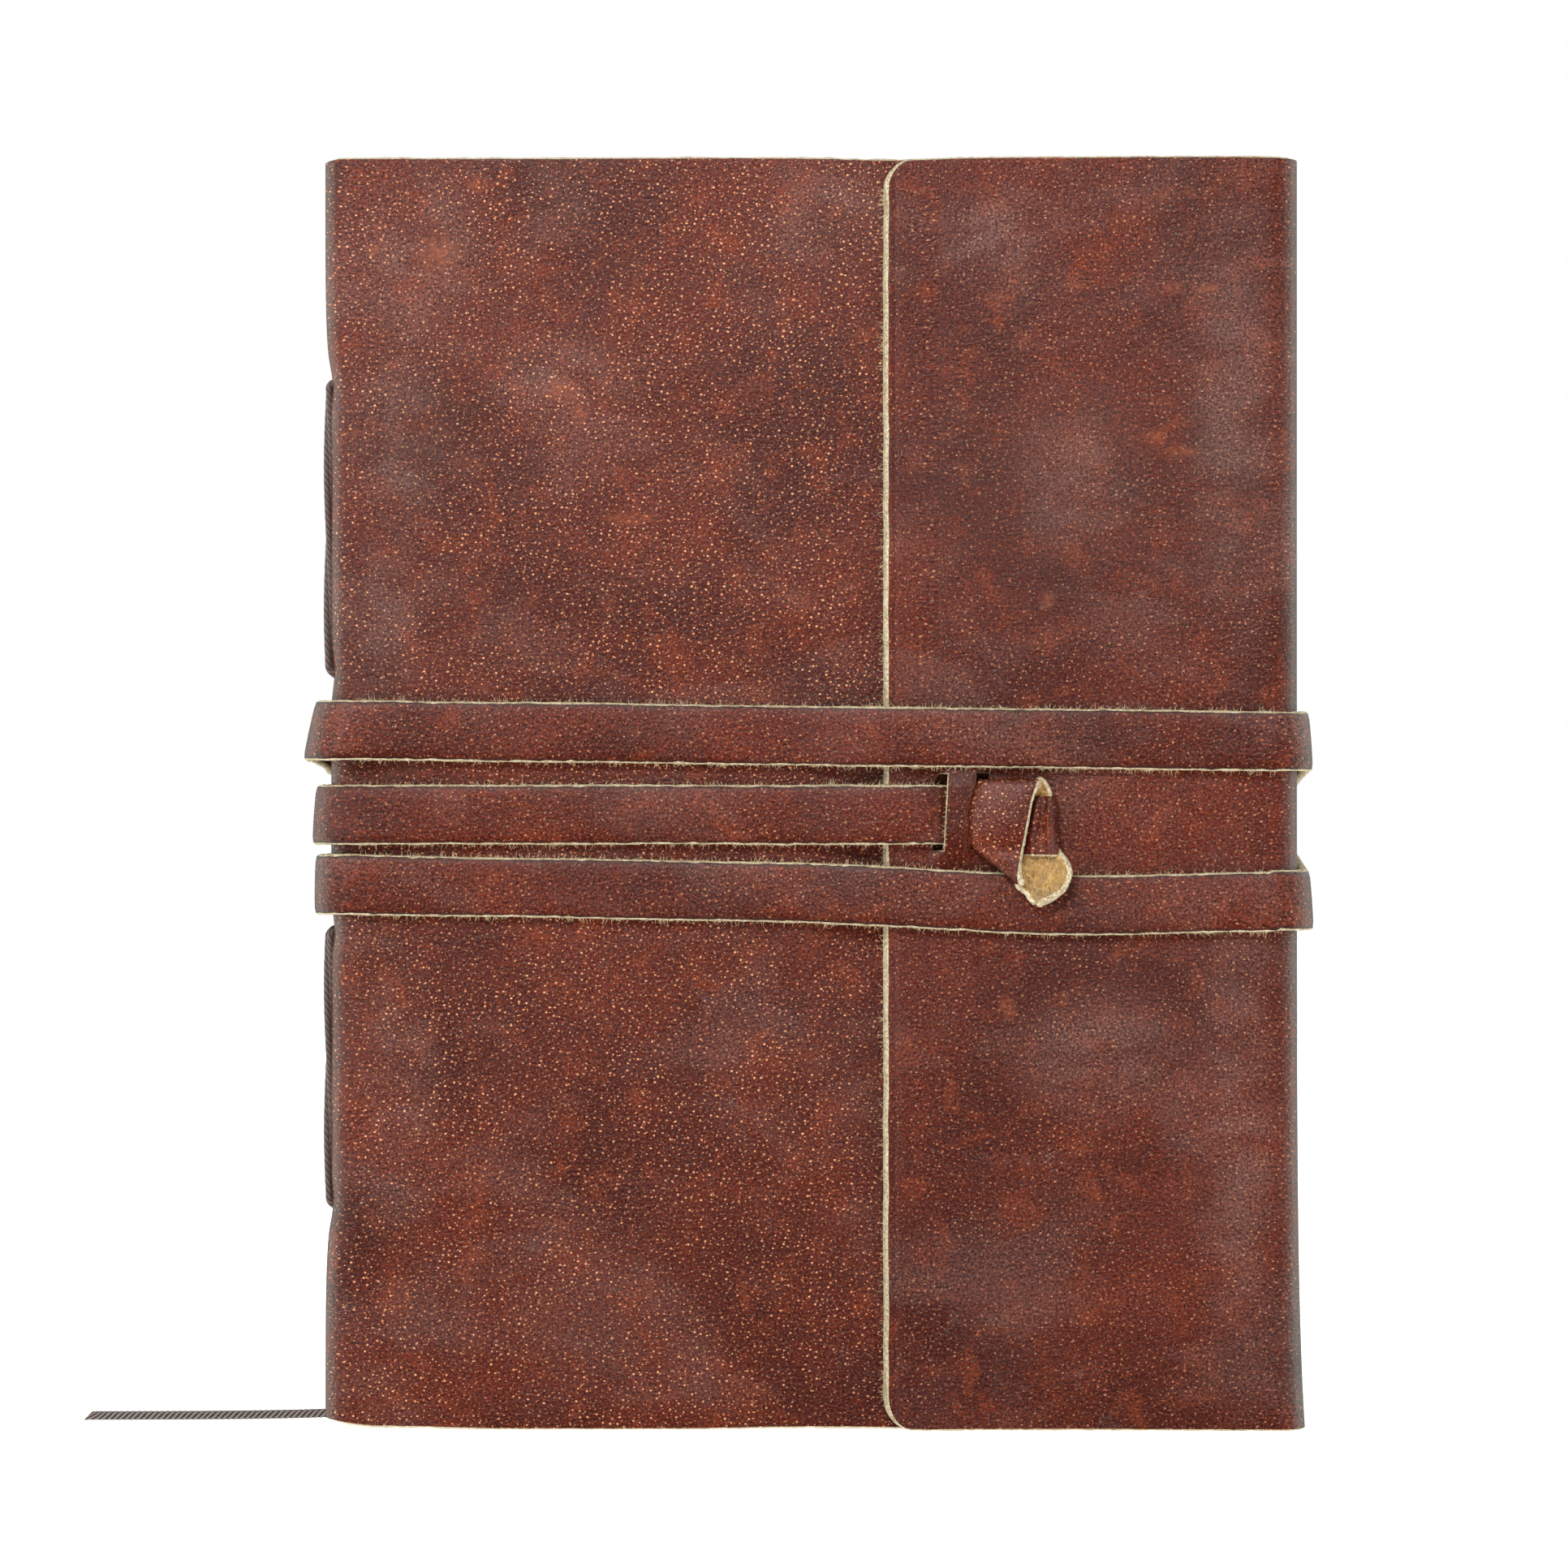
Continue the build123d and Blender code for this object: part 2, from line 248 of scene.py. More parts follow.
def leather_cracks(g, flat, fine):
    """How much of a fine crack is at a point: the edges of long warped cells, in some areas only."""
    warped = g.node("ShaderNodeVectorMath", operation="MULTIPLY_ADD")
    g.link(flat, warped.inputs[0])
    warped.inputs[1].default_value = (0.050, 0.085, 1.0)
    offset = g.node("ShaderNodeCombineXYZ")
    g.link(g.noise(flat, 0.12, 2, 0.5), offset.inputs[0])
    g.link(fine, offset.inputs[1])
    g.link(offset.outputs[0], warped.inputs[2])
    cracks = g.cells(warped.outputs[0], 1.0, "DISTANCE_TO_EDGE")
    line = g.ramp(cracks.outputs["Distance"], 0.0, 0.010, 1.0, 0.0)
    return g.math("MULTIPLY", line, g.ramp(g.noise(flat, 0.055, 3, 0.6, 1.0), 0.55, 0.68))


def leather_normal(g, flat, grain, crack, creased):
    """Folds, pebbled grain and cracks, one over the other."""
    wrinkle = g.noise(g.flat((0.30, 1.5, 1.0), 8), 0.95, 4, 0.6, 1.1)
    fold_mask = g.ramp(g.noise(flat, 0.028, 2, 0.5), 0.46, 0.70, 0.0, 0.8)
    if creased:
        fold_mask = g.math("MAXIMUM", fold_mask, g.math("MULTIPLY", g.spots(flat, creased), 1.7))
    normal = g.bump(g.math("MULTIPLY", wrinkle, fold_mask), 0.45, 0.8)
    pebble = g.math("MULTIPLY", g.cells(g.flat(turn=8), 1.9, "SMOOTH_F1").outputs["Distance"], -0.5)
    normal = g.bump(g.math("ADD", pebble, g.math("MULTIPLY", grain, -1.1)), 0.20, 0.75, normal)
    return g.bump(g.math("SUBTRACT", 1.0, crack), 0.10, 0.7, normal)


def leather_material(name, marks=(), creased=(), painted_sheen_spots=(), flap_end=None, strap=False):
    """Waxed mahogany hide: mottled, dotted with pale pores, faintly creased, half glossy.

    From flap_end on the cut leather towards the cover the pores grow stronger.
    A strap has painted shade beside its cut edges: its grain is darkened there.
    """
    g = Graph(bpy.data.materials.new(name))
    flat = g.flat()
    grain = g.noise(flat, 2.3, 3, 0.75)
    fine = g.noise(flat, 1.15, 3, 0.65)
    place = g.node("ShaderNodeSeparateXYZ")
    g.link(flat, place.inputs["Vector"])
    along, across = place.outputs["X"], place.outputs["Y"]
    strength = 0.5 if flap_end is None else g.ramp(along, flap_end, flap_end + 60, 0.50, 1.0)
    pores = leather_pores(g, flat, strength)
    crack = leather_cracks(g, flat, fine)
    colour = g.mix(pores, leather_colour(g, flat, grain, painted_sheen_spots), (0.80, 0.36, 0.165))
    if marks:
        scuffed = g.math("MULTIPLY", g.spots(flat, marks), g.ramp(fine, 0.38, 0.62), clamp=True)
        colour = g.mix(g.math("MULTIPLY", scuffed, 0.45), colour, (0.36, 0.085, 0.024))
    colour = g.mix(g.math("MULTIPLY", crack, 0.35), colour, (0.34, 0.22, 0.20))
    # painted shade: the strap's grain darkened in a line beside its cut edges
    if strap:
        beside = g.ramp(g.math("ABSOLUTE", across), 3.9, 4.45, 0.0, 0.8)
        colour = g.mix(beside, colour, (0.030, 0.007, 0.004))
    normal = leather_normal(g, flat, grain, crack, creased)
    rough = g.ramp(g.noise(flat, 0.9, 5, 0.7), 0.3, 0.7, 0.34, 0.50)
    return g.surface(
        colour, normal, Roughness=g.math("ADD", rough, g.math("MULTIPLY", pores, 0.25)), Coat_Normal=normal,
        IOR=1.46, Specular_IOR_Level=0.05, Coat_Weight=0.85, Coat_Roughness=0.18, Coat_IOR=1.45,
    )


def raw_edge_material():
    """Cut edge of vegetable-tanned hide: pale, fibrous and matt."""
    g = Graph(bpy.data.materials.new("raw_edge"))
    strands = g.noise(g.flat(), 2.2, 6, 0.75, 0.5)
    stain = g.noise(g.flat(), 0.25, 4, 0.6)
    colour = g.mix(g.ramp(strands, 0.36, 0.62), (0.30, 0.20, 0.095), (0.74, 0.66, 0.46))
    colour = g.mix(g.ramp(stain, 0.60, 0.78, 0.0, 0.65), colour, (0.23, 0.10, 0.045))
    return g.surface(colour, g.bump(strands, 0.20, 0.9), Roughness=0.9, Specular_IOR_Level=0.2)


def suede_material(name, pale, deep):
    """Flesh side of the hide: napped, streaked with fibre and quite matt."""
    g = Graph(bpy.data.materials.new(name))
    nap = g.noise(g.flat((1.0, 0.5, 1.0), 25), 1.7, 6, 0.75, 1.6)
    cloud = g.noise(g.flat(), 0.35, 4, 0.65, 0.8)
    between = [(a + b) * 0.42 for a, b in zip(pale, deep)]
    colour = g.mix(g.ramp(nap, 0.38, 0.62), deep, pale)
    colour = g.mix(g.ramp(cloud, 0.42, 0.66, 0.0, 0.75), colour, between)
    normal = g.bump(nap, 0.35, 1.0)
    return g.surface(colour, normal, Roughness=0.95, Specular_IOR_Level=0.10, Sheen_Weight=0.15)


def fibre_material():
    """Loose fibres of the raw edges, from tan to straw."""
    g = Graph(bpy.data.materials.new("loose_fibre"))
    return g.surface(g.mix(g.noise(g.flat(), 0.9, 3), (0.34, 0.20, 0.07), (0.76, 0.66, 0.42)), Roughness=0.9)


def cord_material(name, pale, deep, turn_scale):
    """Twisted thread: fine slanting plies, with painted shade between them, and a little fluff."""
    g = Graph(bpy.data.materials.new(name))
    plies = g.node("ShaderNodeTexWave", wave_type="BANDS", bands_direction="DIAGONAL")
    g.link(g.flat(), plies.inputs["Vector"])
    for key, value in (("Scale", turn_scale), ("Distortion", 0.8), ("Detail", 3)):
        plies.inputs[key].default_value = value
    fluff = g.noise(g.flat(), 3.0, 5, 0.7)
    both = g.math("ADD", g.math("MULTIPLY", plies.outputs["Fac"], 0.6), g.math("MULTIPLY", fluff, 0.4))
    # painted shade: the colour goes dark between the plies, where the twist shades itself; the fluff is the
    # thread's own tone
    colour = g.mix(g.ramp(both, 0.34, 0.62), deep, pale)
    return g.surface(colour, g.bump(both, 0.10, 0.8), Roughness=0.75, Sheen_Weight=0.2)


def paper_material():
    """Uncoated cream paper with a fibrous surface."""
    g = Graph(bpy.data.materials.new("paper"))
    pulp = g.noise(g.flat(), 0.9, 6, 0.7)
    tone = g.noise(g.flat(), 0.05, 3, 0.6)
    colour = g.mix(g.ramp(pulp, 0.35, 0.65), (0.50, 0.445, 0.34), (0.58, 0.535, 0.44))
    colour = g.mix(g.ramp(tone, 0.45, 0.75, 0.0, 0.35), colour, (0.47, 0.405, 0.29))
    return g.surface(colour, g.bump(pulp, 0.05, 0.6), Roughness=0.92, Specular_IOR_Level=0.25)


# ---------------------------------------------------------------- mesh helpers
class Shell:
    """Collects millimetre places, faces, material slots and flat leather coordinates for one mesh piece."""

    def __init__(self):
        self.places, self.faces, self.slots, self.flats, self.count = [], [], [], [], 0

    def add(self, places, faces, slots, flats):
        self.places.append(np.asarray(places, float).reshape(-1, 3))
        self.flats.append(np.asarray(flats, float).reshape(-1, 3))
        self.faces += [[k + self.count for k in face] for face in faces]
        self.slots += [slots] * len(faces) if isinstance(slots, int) else list(slots)
        self.count += len(self.places[-1])
        return self

    def make(self, name, materials):
        places = (np.concatenate(self.places) + (0, CENTRE_Y, 0)) * MM
        mesh = bpy.data.meshes.new(name)
        mesh.from_pydata(places.tolist(), [], self.faces)
        attribute = mesh.attributes.new("flat", "FLOAT_VECTOR", "POINT")
        attribute.data.foreach_set("vector", np.concatenate(self.flats).astype(np.float32).ravel())
        for material in materials:
            mesh.materials.append(material)
        mesh.polygons.foreach_set("material_index", np.asarray(self.slots, np.int32))
        mesh.polygons.foreach_set("use_smooth", np.ones(len(self.faces), bool))
        mesh.update()
        piece = bpy.data.objects.new(name, mesh)
        bpy.context.collection.objects.link(piece)
        return piece


GRAIN, FLESH, RIM, FIBRE = 0, 1, 2, 3


def unit(v):
    return v / (np.linalg.norm(v, axis=-1, keepdims=True) + 1e-12)


def lengths_along(line):
    """How far along a line of places each place is."""
    return np.concatenate([[0], np.cumsum(np.linalg.norm(np.diff(line, axis=0), axis=1))])


def apart(line):
    """Which places of a line are not on top of the one before."""
    return np.concatenate([[True], np.linalg.norm(np.diff(line, axis=0), axis=1) > 1e-6])


def sheet_shell(
    shell, outer, inner, flat, present=None, bulge=0.18, ragged=0.05, rim_rows=3, slots=(GRAIN, FLESH, RIM)
):
    """A closed sheet between two grids of points, with a fibrous rim along every free edge and hole.

    present says which cells of the grid there are.
    """
    nu, nv = outer.shape[:2]
    if present is None:
        present = np.ones((nu - 1, nv - 1), bool)
    index = np.arange(nu * nv).reshape(nu, nv)
    i, j = np.argwhere(present).T
    quads = np.stack([index[i, j], index[i + 1, j], index[i + 1, j + 1], index[i, j + 1]], 1)
    across = np.cross(outer[1:, :-1] - outer[:-1, :-1], outer[:-1, 1:] - outer[:-1, :-1])
    if (across * (outer - inner)[:-1, :-1]).sum() < 0:
        quads = quads[:, ::-1]
    count = nu * nv
    top, under, flats = outer.reshape(-1, 3), inner.reshape(-1, 3), flat.reshape(-1, 3)
    faces = quads.tolist() + (quads[:, ::-1] + count).tolist()
    kinds = [slots[0]] * len(quads) + [slots[1]] * len(quads)

    edges = np.concatenate([quads[:, [k, (k + 1) % 4]] for k in range(4)]).tolist()
    known = set(map(tuple, edges))
    border = [(a, b) for a, b in edges if (b, a) not in known]
    outward = {}
    for a, b in border:
        away = unit(np.cross(top[b] - top[a], top[a] - under[a]))
        for k in (a, b):
            outward[k] = outward.get(k, 0) + away
    rim_of, extra, extra_flat = {}, [], []
    for k, away in outward.items():
        away = unit(away)
        rim_of[k] = [k]
        for row in range(1, rim_rows + 1):
            share = row / (rim_rows + 1)
            out = bulge * sin(pi * share) + ragged * random.standard_normal()
            rim_of[k].append(2 * count + len(extra))
            extra.append(top[k] * (1 - share) + under[k] * share + away * out)
            extra_flat.append(flats[k] + (0, 0, 2 * share) + 0.5 * away * share)
        rim_of[k].append(k + count)
    for a, b in border:
        for row in range(rim_rows + 1):
            faces.append([rim_of[b][row], rim_of[a][row], rim_of[a][row + 1], rim_of[b][row + 1]])
            kinds.append(slots[2])
    places = np.concatenate([top, under, np.array(extra)])
    all_flat = np.concatenate([flats, flats, np.array(extra_flat)])
    used = np.unique(np.array(faces))
    renumber = np.full(len(places), -1)
    renumber[used] = np.arange(len(used))
    return shell.add(places[used], renumber[np.array(faces)].tolist(), kinds, all_flat[used])


def add_fibres(shell, roots, aims, longest=1.0, thick=0.045):
    """Loose fibres: thin, tapering and curled."""
    for root, aim in zip(roots, aims):
        aim = unit(aim + 0.6 * random.standard_normal(3))
        curl = unit(np.cross(aim, random.standard_normal(3)))
        side = unit(np.cross(aim, curl))
        length = longest * random.uniform(0.25, 1.0)
        bend = random.uniform(-0.6, 0.9)
        places = []
        for share in (0.0, 0.4, 0.75, 1.0):
            middle = root - 0.12 * aim + length * share * (aim + bend * share * curl)
            radius = thick * (1 - 0.8 * share)
            for k in range(3):
                places.append(middle + radius * (cos(2 * pi * k / 3) * curl + sin(2 * pi * k / 3) * side))
        corners = [(3 * r, k, (k + 1) % 3) for r in range(3) for k in range(3)]
        faces = [[r + k, r + after, r + 3 + after, r + 3 + k] for r, k, after in corners]
        shell.add(places, faces + [[2, 1, 0], [9, 10, 11]], FIBRE, np.array(places))


def round_path(points, radius, arc_steps=12):
    """A line in a plane with round corners: places, left normals and lengths."""
    places, normals = [], []

    def straight(a, b):
        along = unit(b - a)
        n = max(1, int(round(np.linalg.norm(b - a))))
        for k in range(n + 1):
            places.append(a + (b - a) * k / n)
            normals.append(np.array([-along[1], along[0]]))

    points = [np.array(p, float) for p in points]
    start = points[0]
    for before, corner, after in zip(points, points[1:], points[2:]):
        u, w = unit(corner - before), unit(after - corner)
        side = np.sign(u[0] * w[1] - u[1] * w[0])
        angle = np.arccos(np.clip(u @ w, -1, 1))
        back = radius * np.tan(angle / 2)
        centre = corner - u * back + side * radius * np.array([-u[1], u[0]])
        straight(start, corner - u * back)
        for k in range(1, arc_steps):
            a = side * angle * k / arc_steps
            rotate = np.array([[cos(a), -sin(a)], [sin(a), cos(a)]])
            places.append(centre + rotate @ (corner - u * back - centre))
            normals.append(rotate @ np.array([-u[1], u[0]]))
        start = corner + w * back
    straight(start, points[-1])
    places, normals = np.array(places), np.array(normals)
    keep = apart(places)
    places, normals = places[keep], normals[keep]
    return places, normals, lengths_along(places)


def bell(value, middle, width):
    """A smooth bump of height 1."""
    return np.exp(-(((value - middle) / width) ** 2))


def smooth(value, low, high):
    """A smooth step from 0 at low to 1 at high."""
    share = np.clip((value - low) / (high - low), 0, 1)
    return share * share * (3 - 2 * share)


def waves(x, z, seed, scale):
    """A smooth uneven surface, between about -1 and 1."""
    draw = np.random.default_rng(seed)
    total = 0
    for _ in range(7):
        fx, fz = draw.uniform(-1, 1, 2) * 3 / scale
        total = total + np.sin(fx * x + fz * z + draw.uniform(0, 2 * pi))
    return total / 5


# ---------------------------------------------------------------- hide
HOLES = (167.4, 120.8, 79.7, 35.6)
FOLD_MID = FOLD_RADIUS - LEATHER / 2
SLIT_LEFT, SLIT_RIGHT, SLIT_WIDTH = FLAP_EDGE + 9.9, FLAP_EDGE + 15.1, 2.0
SLIT_LOW, SLIT_HIGH = 92.4, 104.9
CORNER = 5.0
EDGE_STEPS = (0, 0.15, 0.35, 0.6, 0.9, 1.15, 1.4, 1.7, 2.1, 2.7, 3.5, 4.4)


def spine_pull(z):
    """How far the spine's outline is drawn in: free at both ends, held by the cords and the strap between."""
    held = 1 / (1 + np.exp(-(z - 31) / 4)) / (1 + np.exp((z - 171) / 4))
    return 0.95 * held - 0.45 + sum(0.5 * bell(z, hole, 3.2) for hole in HOLES)


def pillow(x, z):
    """The covers swell a little above and below the strap, and lie flat under it and along their edges."""
    free = 1 - 1 / (1 + np.exp(-(z - 68) / 5)) / (1 + np.exp((z - 128) / 5))
    share = np.clip(z / HEIGHT, 0, 1)
    return free * (4 * share * (1 - share)) ** 0.6 * np.clip(1 - (x / SIDE) ** 2, 0, 1)


def cover_low(x):
    """The tail edge is not quite straight: highest at the spine, lowest a third of the way across."""
    lift = (spine_low[2] - 0.5) * np.clip((-x - 70) / 7, 0, 1) ** 1.5
    return 0.10 + 0.45 * bell(x, -70, 14) + 0.32 * bell(x, 2, 16) + lift


def cover_high(x):
    corner = 1.2 * np.clip((-x - 75.2) / 2.4, 0, 1) ** 2
    return HEIGHT - 0.30 * bell(x, 14, 12) + 0.12 * bell(x, -10, 25) - corner


def flap_low_edge(x):
    return 0.10 + 0.12 * bell(x, 40, 20)


def flap_high_edge(x):
    return HEIGHT + 0.12 * bell(x, 60, 18) - 0.30 * bell(x, 79, 4) - 0.35 * bell(x, 14, 9)


def fore_low(x):
    share = smooth(x, 40, 70)
    return cover_low(x) * (1 - share) + flap_low_edge(x) * share


def fore_high(x):
    share = smooth(x, 40, 70)
    return cover_high(x) * (1 - share) + flap_high_edge(x) * share


def spread(length, free_ends, extra=()):
    """Column places along a sheet: about 1.5 mm apart, and close together at its free ends."""
    places = list(np.linspace(0, length, int(length / 1.4)))
    places = [p for p in places if (p > 5 or not free_ends[0]) and (p < length - 5 or not free_ends[1])]
    places += list(EDGE_STEPS) * free_ends[0] + [length - e for e in EDGE_STEPS] * free_ends[1]
    places = [p for p in places if all(abs(p - e) > 0.5 for e in extra)] + list(extra)
    return np.array(sorted(places))


def heights(extra=()):
    """Row places, as shares of the height."""
    return spread(HEIGHT, (1, 1), extra) / HEIGHT


def build_hide(
    points, side, columns, rows, edges, shape, place_s, free_end, inset, present=None, finish=None
):
    """One continuous stretch of hide along a line in plan, folds included.

    edges give its lower and upper edge, shape moves its faces, and place_s says where a column
    was on the cut hide.
    inset draws the grain side in from the edges and from the free end.
    """
    places, normals, length = round_path(points, FOLD_MID)
    x, y, nx, ny = (
        np.interp(columns, length, a)[:, None] + 0 * rows
        for a in (places[:, 0], places[:, 1], side * normals[:, 0], side * normals[:, 1])
    )
    from_end = (length[-1] - columns)[:, None] + 0 * rows
    low, high = edges[0](x), edges[1](x)
    rough = 0.05 * waves(columns * 1.7, 0 * columns, 21, 2.2)[:, None]
    cut = 0
    if free_end:
        d = np.clip(from_end, 0, CORNER)
        cut = CORNER - np.sqrt(np.clip(CORNER**2 - (CORNER - d) ** 2, 0, None))
    low, high = low + cut + rough, high - cut - rough
    z = low + (high - low) * rows
    z_outer = low + inset[0] + (high - low - 2 * inset[0]) * rows
    shift = shape(x, z, nx, ny, from_end)
    outer = np.stack([x + nx * (LEATHER / 2 + shift), y + ny * (LEATHER / 2 + shift), z_outer], -1)
    inner = np.stack([x - nx * (LEATHER / 2 - shift), y - ny * (LEATHER / 2 - shift), z], -1)
    if free_end:
        end_way = unit(places[-1] - places[-2])
        ragged = 0.12 * waves(z, 0 * z, 22, 2.5) * np.clip(1 - from_end / 2, 0, 1)
        pull = inset[1] * np.clip(1 - from_end / 4, 0, 1) + ragged
        outer[..., 0] -= end_way[0] * pull
        inner[..., 0] -= end_way[0] * ragged * 0.7
    flat = np.stack([place_s(columns)[:, None] + 0 * rows, z, 0 * z], -1)
    if finish is not None:
        finish(outer, inner)
    shell = Shell()
    sheet_shell(shell, outer, inner, flat, present)
    return shell, outer


def front_shape(x, z, nx, ny, from_end):
    on_spine, on_front = np.clip(-nx, 0, 1), np.clip(-ny, 0, 1)
    open_part = np.clip((FLAP_EDGE - 2 - x) / 10, 0, 1) * np.clip((x + SIDE) / 10, 0, 1)
    uneven = 0.13 * waves(x, z, 3, 30) + 0.09 * waves(x, z, 4, 11)
    return -spine_pull(z) * on_spine + on_front * (0.4 * pillow(x, z) + uneven * open_part)


def flare(z):
    """The fore-edge spreads towards the table."""
    return 1.3 * np.exp(-z / 20)


def back_shape(x, z, nx, ny, from_end):
    on_spine, on_fore, on_back = np.clip(-nx, 0, 1), np.clip(nx, 0, 1), np.clip(ny, 0, 1)
    uneven = 0.14 * waves(x, z, 5, 34) + 0.10 * waves(x, z, 6, 12)
    inside = np.clip((SIDE - np.abs(x)) / 10, 0, 1)
    return -spine_pull(z) * on_spine + flare(z) * on_fore + on_back * (0.4 * pillow(x, z) + uneven * inside)


def flap_shape(x, z, nx, ny, from_end):
    """The flap has a line creased beside its edge, and arches up over the strap between the slits."""
    on_fore, on_flap = np.clip(nx, 0, 1), np.clip(-ny, 0, 1)
    uneven = 0.16 * waves(x, z, 8, 30) + 0.09 * waves(x, z, 9, 10)
    inside = np.clip((SIDE - x) / 10, 0, 1) * np.clip(from_end / 6, 0, 1)
    crease = -0.22 * bell(from_end, 1.35, 0.35) + 0.12 * bell(from_end, 2.3, 0.7)
    arch = smooth(z, SLIT_LOW - 3.5, SLIT_LOW + 3) * smooth(-z, -SLIT_HIGH - 3.0, -SLIT_HIGH + 2.5)
    over = smooth(x, SLIT_LEFT - 2.2, SLIT_LEFT - 0.1) * smooth(-x, -SLIT_RIGHT - 2.2, -SLIT_RIGHT + 0.1)
    rise = 2.15 * arch * over * (0.93 + 0.07 * bell(x, SLIT_LEFT + 2.6, 1.8))
    return flare(z) * on_fore + on_flap * (0.4 * pillow(x, z) + 0.10 + uneven * inside + crease) + rise


def shape_slits(outer, inner):
    """The slits lean a little, and the right one curves round the fold that comes out of it."""
    for grid in (outer, inner):
        x, z = grid[..., 0].copy(), grid[..., 2]
        lean = (0.15 + 0.055 * (z - 98)) * bell(x, SLIT_LEFT, 2.2)
        bow = (-0.35 - 1.35 * bell(z, 95.5, 5.5)) * bell(x, SLIT_RIGHT, 1.6)
        lip = 0.9 * smooth(z, SLIT_HIGH - 0.9, SLIT_HIGH) * bell(x, SLIT_LEFT - SLIT_WIDTH, 1.0)
        inside = smooth(z, SLIT_LOW - 8, SLIT_LOW - 2) * smooth(-z, -SLIT_HIGH - 8, -SLIT_HIGH - 2)
        grid[..., 0] += (lean + bow) * inside + lip


front_points = [(-SIDE_MID, 0), (-SIDE_MID, -COVER_MID), (front_high[0], -COVER_MID)]
back_points = [(-SIDE_MID, 0), (-SIDE_MID, COVER_MID), (SIDE_MID, COVER_MID), (SIDE_MID, 0)]
flap_points = [(SIDE_MID, 0), (SIDE_MID, -FLAP_MID), (FLAP_EDGE, -FLAP_MID)]
front_run = round_path(front_points, FOLD_MID)[2][-1]
back_run = round_path(back_points, FOLD_MID)[2][-1]
flap_run = round_path(flap_points, FOLD_MID)[2][-1]
spine_s = front_high[0] - front_run
fore_s = spine_s - back_run
FLAP_SHIFT = fore_s - flap_run - FLAP_EDGE
SEAM_STRIP = 0.06


def beside_seams(columns, *seams):
    """Adds a narrow strip beside each line where two stretches of one hide meet: the shading runs on."""
    return np.unique(np.concatenate([columns, seams]))


front_columns = beside_seams(spread(front_run, (0, 1)), SEAM_STRIP)
hide_front, _ = build_hide(
    front_points, -1, front_columns, heights(), (cover_low, cover_high), front_shape,
    lambda c: spine_s + c, True, (0.18, 0.5),
)
back_columns = beside_seams(spread(back_run, (0, 0)), SEAM_STRIP, back_run - SEAM_STRIP)
hide_back, _ = build_hide(
    back_points, 1, back_columns, heights(), (fore_low, fore_high), back_shape,
    lambda c: spine_s - c, False, (0.18, 0),
)
slit_sides = (SLIT_RIGHT + SLIT_WIDTH, SLIT_RIGHT, SLIT_LEFT, SLIT_LEFT - SLIT_WIDTH)
slit_columns = [flap_run - (x - FLAP_EDGE) for x in slit_sides]
between = [flap_run - (x - FLAP_EDGE) for x in np.linspace(SLIT_LEFT - 1.5, SLIT_RIGHT + 1.5, 14)]
by_slits = slit_columns + [c for c in between if all(abs(c - s) > 0.3 for s in slit_columns)]
plain_columns = [c for c in spread(flap_run, (0, 1)) if min(abs(c - s) for s in by_slits) > 0.35]
flap_columns = beside_seams(plain_columns + by_slits, SEAM_STRIP)
slit_rows = [SLIT_LOW, SLIT_HIGH] + list(np.linspace(SLIT_LOW, SLIT_HIGH, 17)[1:-1])
flap_rows = heights(slit_rows)
middle_column = (flap_columns[1:] + flap_columns[:-1]) / 2
middle_row = (flap_rows[1:] + flap_rows[:-1]) / 2 * HEIGHT
in_slit = np.zeros(len(middle_column), bool)
for low, high in (slit_columns[:2], slit_columns[2:]):
    in_slit |= (middle_column > low) & (middle_column < high)
in_height = (middle_row > SLIT_LOW) & (middle_row < SLIT_HIGH)
hide_flap, flap_grid = build_hide(
    flap_points, 1, flap_columns, flap_rows, (flap_low_edge, flap_high_edge), flap_shape,
    lambda c: fore_s - c, True, (0.20, 0.85),
    present=~(in_slit[:, None] & in_height[None, :]), finish=shape_slits,
)

def paint_shade_on_slit_rims():
    """Every cut rim of the slits takes the dark flesh material as painted shade, except the left slit's right
    side, which shows pale.
    """
    places = np.concatenate(hide_flap.places)
    for k, face in enumerate(hide_flap.faces):
        x, _, z = places[face].mean(axis=0)
        by_slit = SLIT_LEFT - 6.2 < x < SLIT_RIGHT + 3.6 and SLIT_LOW - 2 < z < SLIT_HIGH + 2
        pale = SLIT_LEFT - 0.9 < x < SLIT_LEFT + 1.2
        if hide_flap.slots[k] == RIM and by_slit and not pale:
            hide_flap.slots[k] = FLESH


# painted shade in the slits: their cut rims are made dark
paint_shade_on_slit_rims()
EDGE_FIBRES, SLIT_FIBRES = 480, 60
edge_line = flap_grid[-1]
picks = random.integers(0, len(edge_line), EDGE_FIBRES)
roots = edge_line[picks] + random.uniform(-0.5, 0.5, (EDGE_FIBRES, 1)) * (0, 0, 1) + (-0.75, 0.25, 0)
add_fibres(hide_flap, roots, np.tile([-1.0, -0.25, -0.15], (EDGE_FIBRES, 1)), 1.3, 0.06)
slit_line = flap_grid[np.abs(flap_columns - slit_columns[2]).argmin()]
slit_line = slit_line[(slit_line[:, 2] > SLIT_LOW) & (slit_line[:, 2] < SLIT_HIGH - 3)]
picks = random.integers(0, len(slit_line), SLIT_FIBRES)
add_fibres(hide_flap, slit_line[picks] + (-0.1, 0.3, 0), np.tile([-1.0, -0.4, 0.1], (SLIT_FIBRES, 1)), 0.8)


